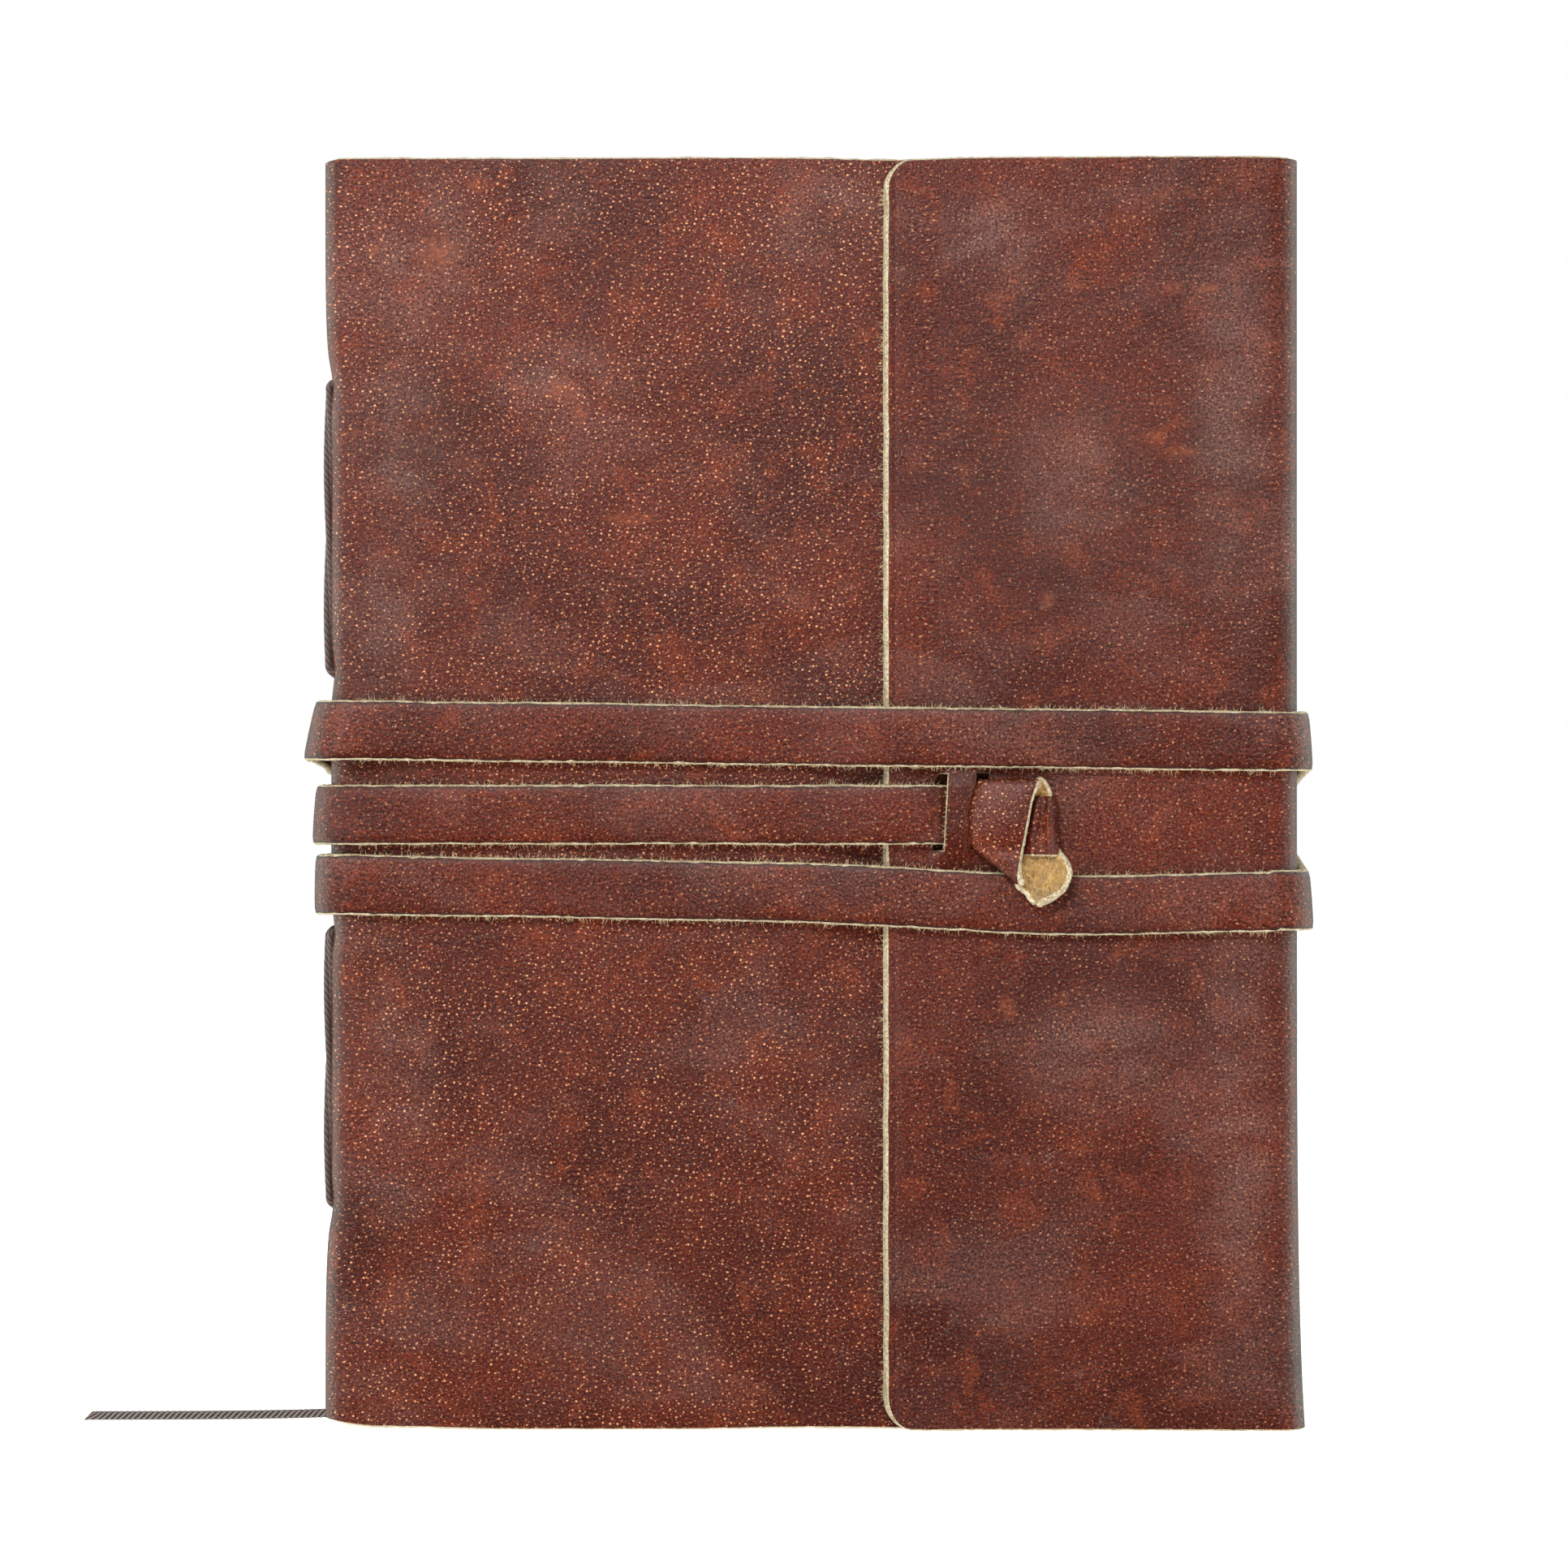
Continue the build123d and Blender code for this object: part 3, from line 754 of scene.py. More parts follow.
# ---------------------------------------------------------------- strap
ON_COVER = COVER_FACE + EASE + STRAP_THICK / 2
ON_FLAP = FLAP_FACE + EASE + STRAP_THICK / 2
OVER_STRAP = ON_COVER + STRAP_THICK + 0.1
FOLD_END = SIDE - FOLD_RADIUS
TURN = FOLD_RADIUS + EASE + STRAP_THICK / 2
TOP_LEFT, TOP_RIGHT = STRAP_MIDDLE + STRAP_WIDTH + 3.9, STRAP_MIDDLE + STRAP_WIDTH + 2.1
LOW_LEFT, LOW_RIGHT = STRAP_MIDDLE - STRAP_WIDTH - 1.6, STRAP_MIDDLE - STRAP_WIDTH - 4.0
SIDE_SLOPE = 2.9
FIRST_RIGHT, SECOND_RIGHT = LOW_RIGHT + SIDE_SLOPE, TOP_RIGHT - SIDE_SLOPE
LEAD_END = -30.0
SWELL = 0.12
SAG_MIDDLE, SAG_WIDTH, LOW_SAG = 40.0, 26, 1.3
TAIL_SHARE, TOP_SINK = 0.6, 2.2
TAIL_Z = STRAP_MIDDLE + (FIRST_RIGHT - STRAP_MIDDLE) * TAIL_SHARE + STRAP_WIDTH + 1.6


def front_level(x):
    """Distance in front of the pages: the strap steps down from the swelling flap onto the cover."""
    return ON_COVER + (ON_FLAP - ON_COVER + SWELL) * smooth(x, FLAP_EDGE - 15, FLAP_EDGE + 1)


def front_row(right, left, z_right, z_left, sag=0.0):
    x = np.arange(right, left - 0.01, -1.0)
    z = z_left + (z_right - z_left) * (x + FOLD_END) / (2 * FOLD_END)
    return [(a, -front_level(a), b - sag * bell(a, SAG_MIDDLE, SAG_WIDTH)) for a, b in zip(x, z)]


def quarter(centre_x, centre_y, z, first, last):
    angles = np.radians(np.linspace(first, last, 15))
    return [(centre_x + TURN * cos(a), centre_y + TURN * sin(a), z) for a in angles]


def round_spine(z, sink=0.0):
    level = COVER_FACE - FOLD_RADIUS
    return quarter(-FOLD_END, -level, z, 270, 180) + quarter(-FOLD_END, level, z - sink, 180, 90)


def round_fore_edge(back_z, front_z):
    back = quarter(FOLD_END, COVER_FACE - FOLD_RADIUS, back_z, 90, 0)
    return back + quarter(FOLD_END, -(FLAP_FACE - FOLD_RADIUS), front_z, 0, -90)


def back_row(z_left, z_right, level, share=1.0):
    x = np.arange(-FOLD_END, -FOLD_END + 2 * FOLD_END * share, 1.0)
    return [(a, level(a), z_left + (z_right - z_left) * (a + FOLD_END) / (2 * FOLD_END * share)) for a in x]


def second_level(x):
    return ON_COVER + (OVER_STRAP - ON_COVER) * smooth(x, -FOLD_END, -FOLD_END + 9) * smooth(-x, -52, -40)


def evenly(route, step=1.0):
    """The route at even steps, and its lengths."""
    route = np.array(route, float)
    route = route[apart(route)]
    length = lengths_along(route)
    at = np.linspace(0, length[-1], int(length[-1] / step) + 1)
    return np.stack([np.interp(at, length, route[:, k]) for k in range(3)], -1), at


SECTION = [
    (-4.50, 0.68, GRAIN), (-3.5, 0.86, GRAIN), (-2.0, 0.90, GRAIN), (0.0, 0.92, GRAIN), (2.0, 0.90, GRAIN),
    (3.5, 0.86, GRAIN), (4.50, 0.68, RIM), (4.66, 0.50, RIM), (4.78, 0.10, RIM), (4.74, -0.45, RIM),
    (4.45, -0.86, FLESH), (2.2, -0.90, FLESH), (-2.2, -0.90, FLESH), (-4.45, -0.86, RIM), (-4.74, -0.45, RIM),
    (-4.78, 0.10, RIM), (-4.66, 0.50, RIM),
]


def build_strap(route, start_s, leans=(), fibres_between=()):
    """A flat strap swept along its route, crowned, with slanting fibrous edges.

    leans are (place, reach, lift of the lower edge, lift of the upper edge).
    """
    path, at = evenly(route)
    s = at + start_s
    tangent = unit(np.gradient(path, axis=0))
    level = tangent * (1, 1, 0)
    normal = unit(np.stack([-level[:, 1], level[:, 0], 0 * level[:, 0]], -1))
    across = unit(np.cross(tangent, normal))
    section = np.array([(w, t) for w, t, _ in SECTION])
    kinds = [k for _, _, k in SECTION]
    edge = np.abs(section[:, 0]) > 4.2
    w = section[None, :, 0] + 0 * s[:, None]
    top_wave, low_wave = (
        0.10 * waves(s, 0 * s, seed, 16) + 0.05 * waves(s, 0 * s, seed + 2, 3) for seed in (31, 32)
    )
    wave = np.where(section[None, :, 0] > 0, top_wave[:, None], low_wave[:, None])
    w = w + wave * np.abs(section[None, :, 0]) / 4.8
    rim = edge & (np.abs(section[:, 1]) < 0.69)
    w = w + rim * 0.05 * np.random.default_rng(40 + int(start_s)).standard_normal(w.shape)
    t = section[None, :, 1] + 0 * w
    for middle, run, low_lift, high_lift in leans:
        near = bell(s, middle + start_s, run)[:, None]
        t = t + near * (low_lift * (0.5 - w / STRAP_WIDTH) + high_lift * (0.5 + w / STRAP_WIDTH))
    places = path[:, None] + across[:, None] * w[..., None] + normal[:, None] * t[..., None]
    n, m = len(path), len(SECTION)
    flats = np.stack([s[:, None] + 0 * w, w, t + 0 * w], -1) + (300, 0, 0)
    faces, slots = [], []
    for a in range(n - 1):
        for b in range(m):
            c = (b + 1) % m
            faces.append([a * m + b, a * m + c, (a + 1) * m + c, (a + 1) * m + b])
            slots.append(kinds[b])
    shell = Shell().add(places, faces, slots, flats)
    for ring, order in ((0, -1), (n - 1, 1)):
        shell.add(places[ring], [list(range(m))[::order]], RIM, flats[ring])
    for low, high in fibres_between:
        for column, way in ((8, 1), (15, -1)):
            picks = random.integers(max(1, int(low)), min(n - 2, int(high)), int((high - low) * 2.2))
            roots = places[picks, column] + tangent[picks] * random.uniform(-0.5, 0.5, (len(picks), 1))
            roots = roots + normal[picks] * 0.3
            add_fibres(shell, roots, across[picks] * way + normal[picks] * 0.15, 1.15, 0.06)
    return shell, at


lead_x = np.linspace(SLIT_RIGHT + 2.5, LEAD_END, 118)
dive = smooth(lead_x, SLIT_LEFT - 2.3, SLIT_LEFT + 0.2)
dive = dive * smooth(-lead_x, -SLIT_RIGHT - 2.4, -SLIT_RIGHT + 0.1)
lead_y = front_level(lead_x) - dive * (ON_FLAP + SWELL - FLAP_MID - EASE)
lead_route = [(x, -y, STRAP_MIDDLE) for x, y in zip(lead_x, lead_y)]
strap_lead, lead_at = build_strap(lead_route, 0.0, fibres_between=[(10, 58)])
lead_length = lead_at[-1]

coil_route = front_row(LEAD_END, -FOLD_END, STRAP_MIDDLE, STRAP_MIDDLE)
marks = {}


def run_length(route):
    route = np.array(route)
    return np.linalg.norm(np.diff(route, axis=0), axis=1).sum()


def mark(name):
    marks[name] = run_length(coil_route)


mark("middle_left")
coil_route += round_spine(STRAP_MIDDLE) + back_row(STRAP_MIDDLE, FIRST_RIGHT, lambda x: ON_COVER)
coil_route += round_fore_edge(FIRST_RIGHT, LOW_RIGHT)
mark("low_right")
coil_route += front_row(FOLD_END, -FOLD_END, LOW_RIGHT, LOW_LEFT, LOW_SAG)
mark("low_left")
coil_route += round_spine(LOW_LEFT) + back_row(LOW_LEFT, SECOND_RIGHT, second_level)
coil_route += round_fore_edge(SECOND_RIGHT, TOP_RIGHT)
mark("top_right")
coil_route += front_row(FOLD_END, -FOLD_END, TOP_RIGHT, TOP_LEFT)
mark("top_left")
coil_route += round_spine(TOP_LEFT, TOP_SINK)
coil_route += back_row(TOP_LEFT - TOP_SINK, TAIL_Z, lambda x: ON_COVER, TAIL_SHARE)
leans = [
    (marks[name] + beyond, 9, low_lift, high_lift)
    for name, beyond, low_lift, high_lift in (
        ("middle_left", 6, 0.8, 0.1), ("low_left", 6, 0.4, 0.2), ("top_left", 6, 2.3, 0.2),
        ("low_right", -6, 0.9, 0.2), ("top_right", -6, 0.8, 0.1),
    )
]
front_runs = [(1, marks["middle_left"])]
front_runs += [(marks[row + "_right"], marks[row + "_left"]) for row in ("low", "top")]
strap_coil, _ = build_strap(coil_route, lead_length, leans, front_runs)


# ---------------------------------------------------------------- knot
def through(points, steps):
    """Smooth places through a grid of control points, along its first direction."""
    points = np.asarray(points, float)
    padded = np.concatenate([2 * points[:1] - points[1:2], points, 2 * points[-1:] - points[-2:-1]])
    out = []
    for k in range(len(points) - 1):
        a, b, c, d = padded[k : k + 4]
        for n in range(steps):
            t = n / steps
            square, cube = 2 * a - 5 * b + 4 * c - d, 3 * b - a - 3 * c + d
            out.append(0.5 * (2 * b + (c - a) * t + square * t**2 + cube * t**3))
    out.append(points[-1])
    return np.array(out)


PATCH_STEPS = 5
PATCH_FLAT_X = 420
FOLD_FIBRES, TIP_FIBRES = 26, 240


def build_patch(rows, columns, thickness, slots, bulge, ripple=0.06):
    """A sculpted scrap of strap.

    rows give (z, left x, right x, heights above the flap's face), and columns the shares from left to right.
    """
    grid = [
        [(left + (right - left) * c, -(FLAP_FACE + h), z) for c, h in zip(columns, lifts)]
        for z, left, right, lifts in rows
    ]
    dense = through(grid, PATCH_STEPS)
    dense = np.swapaxes(through(np.swapaxes(dense, 0, 1), PATCH_STEPS), 0, 1)
    along = np.gradient(dense, axis=0)
    sideways = np.gradient(dense, axis=1)
    normal = unit(np.cross(along, sideways))
    if normal[..., 1].mean() > 0:
        normal = -normal
    dense = dense + normal * (ripple * waves(dense[..., :1] * 9, dense[..., 2:] * 7, 55, 9))
    flat = np.stack([dense[..., 0] + PATCH_FLAT_X, dense[..., 2], 0 * dense[..., 0]], -1)
    shell = Shell()
    sheet_shell(shell, dense, dense - normal * thickness, flat, bulge=bulge, slots=slots)
    return shell, dense


FOLD_COLUMNS = (0.0, 0.05, 0.14, 0.4, 0.75, 1.0)
fold_rows = [
    (103.95, 26.9, 35.95, (0.6, 0.7, 0.9, 1.1, 1.4, 1.8)),
    (103.75, 26.4, 35.95, (1.0, 1.5, 2.1, 2.6, 3.0, 3.4)),
    (102.9, 25.9, 35.45, (0.9, 2.0, 2.9, 3.6, 4.1, 4.3)),
    (100.4, 25.0, 34.65, (0.7, 1.9, 3.1, 4.1, 4.6, 4.5)),
    (97.3, 24.6, 34.05, (0.7, 1.9, 3.1, 4.1, 4.6, 4.5)),
    (94.6, 24.65, 33.55, (0.7, 1.9, 3.0, 3.9, 4.4, 4.4)),
    (92.7, 25.5, 33.15, (0.7, 1.7, 2.7, 3.6, 4.1, 4.2)),
    (91.0, 27.6, 32.85, (1.2, 2.3, 3.2, 3.9, 4.4, 4.5)),
    (89.4, 29.8, 32.6, (2.0, 2.9, 3.5, 4.0, 4.5, 4.8)),
    (88.1, 31.4, 32.45, (3.0, 3.4, 3.8, 4.2, 4.6, 4.9)),
    (87.2, 32.2, 32.75, (3.6, 3.8, 4.1, 4.4, 4.7, 4.9)),
]
knot_fold, fold_grid = build_patch(fold_rows, FOLD_COLUMNS, 1.4, (GRAIN, FLESH, RIM), 0.42)
roots = fold_grid[8:-4, -1][random.integers(0, len(fold_grid) - 12, FOLD_FIBRES)]
add_fibres(knot_fold, roots, np.tile([0.8, -0.5, 0.2], (FOLD_FIBRES, 1)), 0.5, 0.035)

ROLL_COLUMNS = (0.0, 0.16, 0.34, 0.54, 0.70, 0.86, 0.96, 1.0)
roll_rows = [
    (101.35, 34.6, 38.0, (0.8, 1.0, 1.3, 1.5, 1.6, 1.2, 0.7, 0.3)),
    (100.9, 34.2, 38.9, (1.4, 1.8, 2.5, 2.4, 2.9, 2.3, 1.2, 0.3)),
    (99.0, 33.6, 39.25, (1.6, 2.1, 3.1, 2.8, 3.6, 2.8, 1.4, 0.2)),
    (96.0, 33.0, 39.3, (1.6, 2.2, 3.3, 2.8, 3.8, 3.0, 1.5, 0.2)),
    (93.6, 32.6, 39.6, (1.6, 2.2, 3.4, 3.0, 4.0, 3.2, 1.7, 0.3)),
    (91.9, 32.4, 40.0, (1.6, 2.2, 3.5, 3.3, 4.3, 3.6, 2.2, 0.8)),
]
knot_roll, _ = build_patch(roll_rows, ROLL_COLUMNS, 1.1, (GRAIN, FLESH, RIM), 0.25)

TIP_COLUMNS = (0.0, 0.2, 0.45, 0.7, 0.9, 1.0)
tip_rows = [
    (93.0, 33.2, 38.5, (1.6, 1.6, 1.7, 1.9, 2.2, 2.5)),
    (91.4, 32.9, 39.5, (2.3, 2.2, 2.3, 2.7, 3.4, 3.9)),
    (90.0, 32.7, 40.2, (3.1, 2.9, 2.9, 3.3, 4.2, 4.8)),
    (88.6, 32.7, 40.35, (3.6, 3.3, 3.3, 3.6, 4.4, 4.9)),
    (87.1, 32.9, 39.8, (3.9, 3.6, 3.6, 3.8, 4.3, 4.7)),
    (86.0, 34.3, 38.6, (4.0, 3.8, 3.7, 3.9, 4.2, 4.5)),
    (85.2, 34.7, 37.0, (4.1, 4.0, 3.9, 4.0, 4.2, 4.4)),
    (84.6, 35.2, 35.8, (4.2, 4.2, 4.1, 4.1, 4.2, 4.3)),
]
knot_tip, tip_grid = build_patch(tip_rows, TIP_COLUMNS, 1.3, (FLESH, GRAIN, RIM), 0.5, ripple=0.10)
inner_tip = tip_grid[4:-4, 4:-4].reshape(-1, 3)
roots = inner_tip[random.integers(0, len(inner_tip), TIP_FIBRES)]
add_fibres(knot_tip, roots, np.tile([0.3, -0.4, -0.8], (TIP_FIBRES, 1)), 1.6, 0.06)

apex_rows = [
    (103.7, 35.75, 36.35, (2.6, 2.6, 2.7)),
    (103.0, 35.3, 36.9, (2.6, 2.4, 2.7)),
    (102.0, 34.9, 37.4, (2.4, 2.0, 2.6)),
    (100.8, 34.6, 37.7, (2.0, 1.7, 2.3)),
]
knot_apex, _ = build_patch(apex_rows, (0.0, 0.5, 1.0), 1.0, (FLESH, GRAIN, RIM), 0.34)


# ---------------------------------------------------------------- booklets
SHEETS = 6


def build_booklet(number):
    """Six folded leaves, one inside the other, with slightly uneven deckled edges."""
    low, high = box_mm(f"booklet_{number + 1}")
    middle = (low[1] + high[1]) / 2 - CENTRE_Y
    half = (high[1] - low[1]) / 2
    pitch = half / SHEETS
    shell = Shell()
    for n in range(SHEETS):
        radius = half - (n + 0.5) * pitch
        end = high[0] - 0.12 * n - random.uniform(0, 0.35)
        bottom, top = low[2] + random.uniform(0, 0.35), high[2] - random.uniform(0, 0.35)
        turn_x = low[0] + half
        straight = np.linspace(end, turn_x, 16)
        arc = np.radians(np.linspace(90, 270, 13))[1:-1]
        x = np.concatenate([straight, turn_x + radius * np.cos(arc), straight[::-1]])
        y = np.concatenate([0 * straight + radius, radius * np.sin(arc), 0 * straight - radius])
        nx = np.concatenate([0 * straight, np.cos(arc), 0 * straight])
        ny = np.concatenate([0 * straight + 1, np.sin(arc), 0 * straight - 1])
        z = np.linspace(bottom, top, 30)
        x, y, nx, ny = (a[:, None] + 0 * z for a in (x, y, nx, ny))
        deckle = 0.10 * waves(z, 0 * z + n, 60 + number, 6) * np.clip((x - end + 12) / 12, 0, 1)
        z = z + 0 * x
        thick = pitch * 0.44
        outer = np.stack([x + nx * thick + deckle, y + ny * thick + middle, z], -1)
        inner = np.stack([x - nx * thick + deckle, y - ny * thick + middle, z], -1)
        flat = np.stack([x + 37 * n, z + 11 * number, 0 * z], -1)
        sheet_shell(shell, outer, inner, flat, bulge=0.03, ragged=0.015, rim_rows=1, slots=(0, 0, 0))
    return shell


# ---------------------------------------------------------------- threads
def add_tube(shell, line, radius, sides=10, cut=0.0):
    """A round tube along a line; cut slants its far end.

    radius is one number, or one for each place and side.
    """
    line = np.asarray(line, float)
    tangent = unit(np.gradient(line, axis=0))
    frame_up = unit(np.cross(tangent[0], (0.0, 1.0, 0.3)))
    ups = []
    for t in tangent:
        frame_up = unit(frame_up - t * (frame_up @ t))
        ups.append(frame_up)
    ups = np.array(ups)
    sides_at = np.arange(sides) * 2 * pi / sides
    radius = np.broadcast_to(np.asarray(radius, float), (len(line), sides))
    other = np.cross(tangent, ups)
    ring = ups[:, None] * np.cos(sides_at)[None, :, None] + other[:, None] * np.sin(sides_at)[None, :, None]
    places = line[:, None] + ring * radius[..., None]
    length = lengths_along(line)
    if cut:
        near = np.clip(1 - (length[-1] - length) / 3.0, 0, 1)[:, None]
        places[..., 0] += cut * near * (places[..., 2] - line[:, None, 2])
    faces = []
    for a in range(len(line) - 1):
        for b in range(sides):
            c = (b + 1) % sides
            faces.append([a * sides + b, a * sides + c, (a + 1) * sides + c, (a + 1) * sides + b])
    faces += [list(range(sides))[::-1], [(len(line) - 1) * sides + k for k in range(sides)]]
    along, around = np.meshgrid(length, np.arange(sides) * 4.4 / sides, indexing="ij")
    shell.add(places, faces, 0, np.stack([along, around, 0 * along], -1))


CORD_BEND, CORD_DEPTH, CORD_RETURN = 1.1, 3.6, 2.2
THREAD_RADIUS, THREAD_OFFSET = 0.50, 0.36
OUTSIDE = -SIDE + 0.10


def build_binding(number):
    """A doubled sewing thread: out and in through the spine's four holes, knotted inside the booklet."""
    low, high = box_mm(f"booklet_{number + 1}")
    y = (low[1] + high[1]) / 2 - CENTRE_Y
    inside = -SIDE + LEATHER + CORD_DEPTH
    deep = inside + CORD_RETURN
    middle = (HOLES[0] + HOLES[3]) / 2
    corners = [
        (deep, middle + 1.5), (deep, HOLES[0]), (OUTSIDE, HOLES[0]), (OUTSIDE, HOLES[1]), (inside, HOLES[1]),
        (inside, HOLES[2]), (OUTSIDE, HOLES[2]), (OUTSIDE, HOLES[3]), (deep, HOLES[3]), (deep, middle - 1.5),
    ]
    plan, normals, length = round_path(corners, CORD_BEND, 8)
    line = np.stack([plan[:, 0], 0 * length + y, plan[:, 1]], -1)
    sway = 0.10 * waves(length, 0 * length, 70 + number, 18)
    shell = Shell()
    turn = 2 * pi * length / 46 + 1.1 + 0.9 * number
    for way in (0, 1):
        angle = turn + pi * way
        offset = np.stack([normals[:, 0] * np.cos(angle), np.sin(angle), normals[:, 1] * np.cos(angle)], -1)
        ply = 1 + 0.05 * np.sin(3 * np.arange(12)[None, :] * 2 * pi / 12 - 2.4 * length[:, None])
        add_tube(shell, line + THREAD_OFFSET * offset + sway[:, None] * (0, 1, 0), THREAD_RADIUS * ply, 12)
    ends = np.array([(deep, y, middle + 1.9), (deep + 0.6, y + 0.5, middle), (deep, y, middle - 1.9)])
    add_tube(shell, through(ends, 5), 1.0, 10)
    return shell


def twisted(line, radius, lead, sides=18):
    """A three-ply twisted cord's radius at each place and side."""
    length = lengths_along(line)
    angle = 3 * (np.arange(sides)[None, :] * 2 * pi / sides - 2 * pi * length[:, None] / lead)
    return radius * (1.03 + 0.05 * np.cos(angle))


MARKER_X, MARKER_Y, MARKER_RADIUS = -72.0, 5.53, 0.7
MARKER_START, MARKER_TIP, MARKER_REST, MARKER_TOP = 6.0, -117.3, 0.75, 196
MARKER_LEAD = 2.8
MARKER_POINTS = [
    (MARKER_X, MARKER_Y, MARKER_START),
    (MARKER_X, MARKER_Y, 2.6),
    (MARKER_X - 1.85, MARKER_Y, MARKER_REST),
    (MARKER_TIP, MARKER_Y, MARKER_REST),
]


def nurbs_line(points):
    """Places along a smooth open curve with these control points, in millimetres."""
    data = bpy.data.curves.new("marker_route", "CURVE")
    data.dimensions = "3D"
    spline = data.splines.new("NURBS")
    spline.points.add(len(points) - 1)
    for point, place in zip(spline.points, points):
        point.co = (*[c * MM for c in place], 1)
    spline.order_u = 3
    spline.use_endpoint_u = True
    spline.resolution_u = 160
    holder = bpy.data.objects.new("marker_route", data)
    mesh = bpy.data.meshes.new_from_object(holder)
    line = np.array([v.co[:] for v in mesh.vertices]) / MM
    bpy.data.objects.remove(holder)
    bpy.data.meshes.remove(mesh)
    bpy.data.curves.remove(data)
    from_first = np.linalg.norm(line[0] - points[0]) < np.linalg.norm(line[-1] - points[0])
    return line if from_first else line[::-1]


# ---------------------------------------------------------------- where the hide is scuffed and creased, and where sheen is painted on it
COVER_MARKS = [
    (-59.7, 188.0, 8.0, 6.5), (-53.2, 199.0, 3.6, 3.4), (-40.2, 166.0, 6.4, 4.0), (-37.0, 162.0, 2.6, 3.4),
    (-70.0, 188.5, 2.6, 2.0), (-29.0, 145.5, 10.0, 2.4),
]
FLAP_MARKS = [
    (57.5, 182.2, 3.4, 2.2), (63.3, 182.2, 3.6, 2.0), (59.0, 156.2, 6.0, 2.2), (54.8, 158.6, 3.0, 2.6),
    (37.4, 132.4, 2.6, 3.2), (31.0, 67.6, 3.0, 4.4),
]
hide_marks = COVER_MARKS + [(x + FLAP_SHIFT, z, w, h) for x, z, w, h in FLAP_MARKS]
hide_creases = [(-62, 162, 26, 34), (-68, 110, 12, 60)] + [(x + FLAP_SHIFT, 150, 44, 60) for x in (34, 58)]
# (x, z, width, height) of the places where a sheen, a grey reflection, is painted into the hide's colour, on
# the cover and then on the flap
COVER_PAINTED_SHEEN = [
    (-63, 186, 22, 34), (-66, 158, 16, 40), (-68, 126, 12, 36), (-66, 52, 14, 46), (-40, 168, 26, 14),
    (2, 194, 24, 20),
]
FLAP_PAINTED_SHEEN = [(67, 162, 15, 84), (68, 48, 15, 88), (42, 152, 22, 30), (46, 60, 30, 22), (28, 190, 22, 16)]
hide_painted_sheen = COVER_PAINTED_SHEEN + [(x + FLAP_SHIFT, z, w, h) for x, z, w, h in FLAP_PAINTED_SHEEN]
leather = leather_material("hide_leather", hide_marks, hide_creases, hide_painted_sheen, FLAP_SHIFT + SIDE + 20)
strap_marks = [(360.0, 0.6, 7.0, 4.0), (432.0, 1.8, 3.4, 2.4)]
strap_leather = leather_material("strap_leather", strap_marks, strap=True)
raw_edge = raw_edge_material()
suede = suede_material("suede", (0.30, 0.155, 0.066), (0.15, 0.066, 0.026))
tip_suede = suede_material("tip_suede", (0.72, 0.45, 0.16), (0.24, 0.10, 0.022))
fibre = fibre_material()
binding = cord_material("binding_thread", (0.125, 0.080, 0.066), (0.040, 0.024, 0.020), 0.55)
marker_thread = cord_material("marker_thread", (0.215, 0.168, 0.150), (0.018, 0.013, 0.011), 0.675)
paper = paper_material()


front_piece = hide_front.make("hide_front", [leather, suede, raw_edge, fibre])
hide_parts("front_cover", "spine")
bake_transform(front_piece)
back_piece = hide_back.make("hide_back", [leather, suede, raw_edge, fibre])
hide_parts("back_cover")
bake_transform(back_piece)
flap_piece = hide_flap.make("hide_flap", [leather, suede, raw_edge, fibre])
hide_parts("fore_edge", "flap")
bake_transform(flap_piece)

lead_piece = strap_lead.make("strap_lead", [strap_leather, suede, raw_edge, fibre])
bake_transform(lead_piece)
coil_piece = strap_coil.make("strap_coil", [strap_leather, suede, raw_edge, fibre])
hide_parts("strap_wraps")
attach(coil_piece, "strap")

for name, shell, flesh in (
    ("knot_fold", knot_fold, suede), ("knot_roll", knot_roll, suede),
    ("knot_tip", knot_tip, tip_suede), ("knot_apex", knot_apex, tip_suede),
):
    piece = shell.make(name, [leather, flesh, raw_edge, fibre])
    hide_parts("strap_knot")
    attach(piece, "flap_panel")

for number in range(5):
    pages = build_booklet(number).make(f"booklet_{number + 1}_leaves", [paper])
    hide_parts(f"booklet_{number + 1}")
    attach(pages, "book")
    thread = build_binding(number).make(f"binding_thread_{number + 1}", [binding])
    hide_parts(f"binding_cord_{number + 1}")
    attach(thread, "book")

marker_line = nurbs_line(MARKER_POINTS)
marker_path, _ = evenly(marker_line, 0.09)
cord_shell = Shell()
marker_radii = twisted(marker_path, MARKER_RADIUS, MARKER_LEAD)
add_tube(cord_shell, marker_path - (0, CENTRE_Y, 0), marker_radii, 18, cut=1.0)
marker_piece = cord_shell.make("marker_cord", [marker_thread])
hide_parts("marker")
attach(marker_piece, "book")
held_place = (MARKER_X, MARKER_Y - CENTRE_Y)
held_line = np.linspace((*held_place, MARKER_START), (*held_place, MARKER_TOP), 600)
held_shell = Shell()
add_tube(held_shell, held_line, twisted(held_line, MARKER_RADIUS, MARKER_LEAD, 10), 10)
held_piece = held_shell.make("marker_between_pages", [marker_thread])
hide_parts("marker_held")
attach(held_piece, "book")


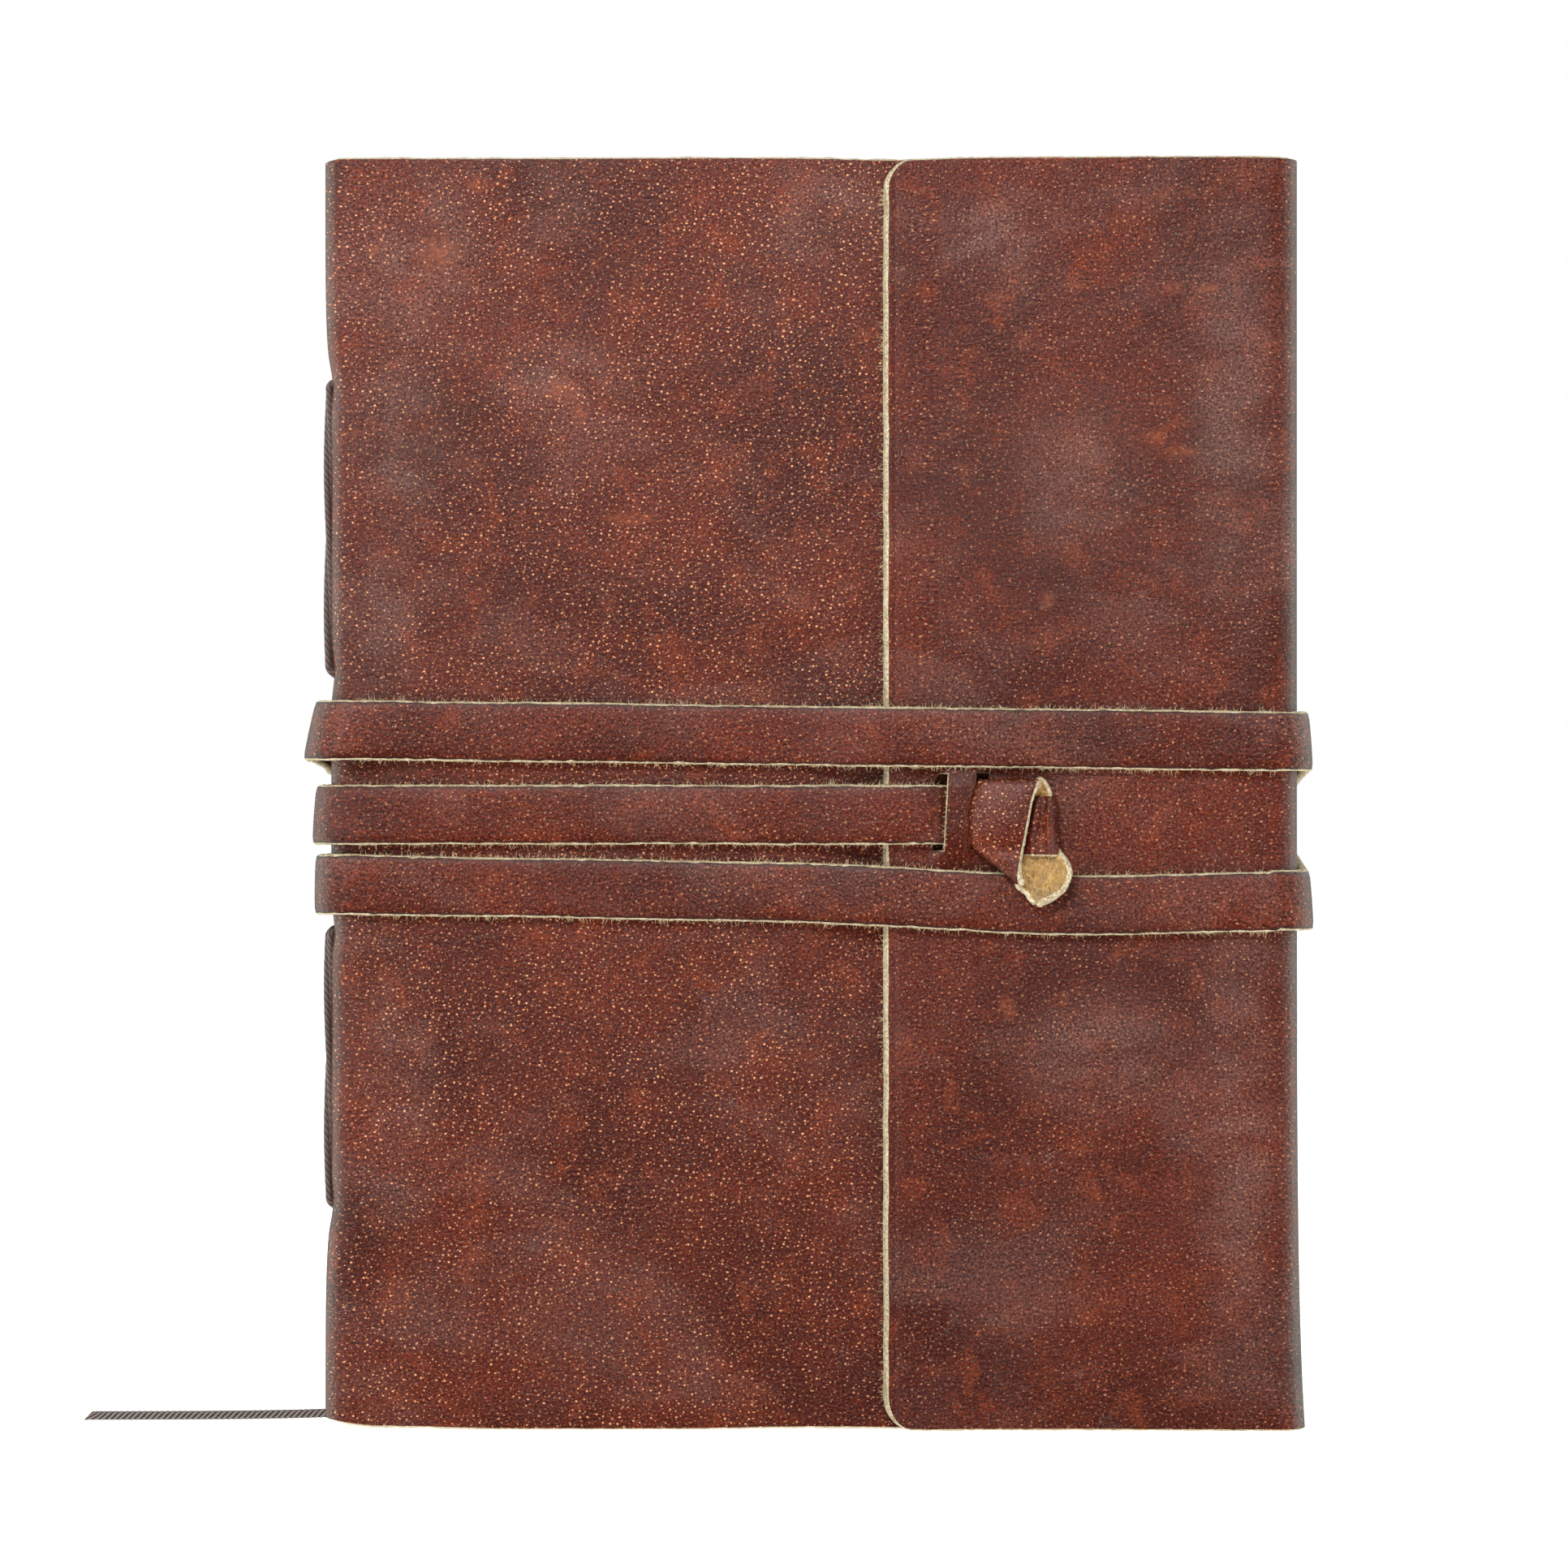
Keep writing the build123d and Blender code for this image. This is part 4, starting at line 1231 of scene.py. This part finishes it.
# ---------------------------------------------------------------- floor, light and world
def add_floor():
    """A pale floor that glows a little, so that the ground round the object is as white as in the photo."""
    mesh = bpy.data.meshes.new("floor")
    mesh.from_pydata([(-6, -6, 0), (6, -6, 0), (6, 6, 0), (-6, 6, 0)], [], [(0, 1, 2, 3)])
    g = Graph(bpy.data.materials.new("floor"))
    mesh.materials.append(g.surface(
        (0.93, 0.93, 0.93, 1), Roughness=0.9, Specular_IOR_Level=0.0,
        Emission_Color=(1, 1, 1, 1), Emission_Strength=0.74,
    ))
    floor = bpy.data.objects.new("floor", mesh)
    bpy.context.collection.objects.link(floor)
    floor.visible_glossy = False


LIGHT_AIM = (0, 0, 0.1)


def add_softbox(name, place, size, watts):
    """A rectangular soft light turned to LIGHT_AIM; its place and size are in metres."""
    light = bpy.data.lights.new(name, "AREA")
    light.shape = "RECTANGLE"
    light.size, light.size_y = size
    light.energy = watts
    holder = bpy.data.objects.new(name, light)
    holder.location = place
    toward = Vector(LIGHT_AIM) - Vector(place)
    holder.rotation_euler = toward.to_track_quat("-Z", "Y").to_euler()
    bpy.context.collection.objects.link(holder)


def add_world():
    """A tent of light behind the object, dark towards the camera, and plain white where the camera sees it.

    Shine sees it brighter at the sides, dimmer straight behind and a little green, as the photo's edges do.
    """
    world = bpy.data.worlds.new("studio")
    bpy.context.scene.world = world
    g = Graph(world, "Background")
    rays = g.node("ShaderNodeLightPath")
    shiny = rays.outputs["Is Glossy Ray"]
    split = g.node("ShaderNodeSeparateXYZ")
    g.link(g.node("ShaderNodeTexCoord").outputs["Generated"], split.inputs["Vector"])
    behind = split.outputs["Y"]
    tent = g.ramp(behind, -0.35, 0.15, 0.07, 0.80)
    wall = g.ramp(behind, -0.28, 0.04, 0.02, 3.2)
    fall = g.ramp(behind, 0.10, 0.95, 1.0, 0.10, "LINEAR")
    light = g.ramp(shiny, 0, 1, tent, g.math("MULTIPLY", wall, fall), "LINEAR")
    g.put(g.shader.inputs["Color"], g.mix(shiny, (1, 1, 1), (0.80, 1.0, 0.94)))
    g.put(g.shader.inputs["Strength"], g.ramp(rays.outputs["Is Camera Ray"], 0, 1, light, 1.0, "LINEAR"))


add_floor()
add_softbox("top_box", (-0.30, -0.90, 0.88), (0.50, 0.34), 10.8)
add_softbox("left_box", (-1.00, -0.80, 0.40), (0.5, 1.0), 4.0)
add_softbox("right_box", (1.00, -0.80, 0.40), (0.5, 1.0), 3.6)
add_softbox("back_box", (0.3, 1.3, 0.9), (1.2, 0.8), 8)
add_world()
bpy.context.scene.view_settings.view_transform = "Standard"
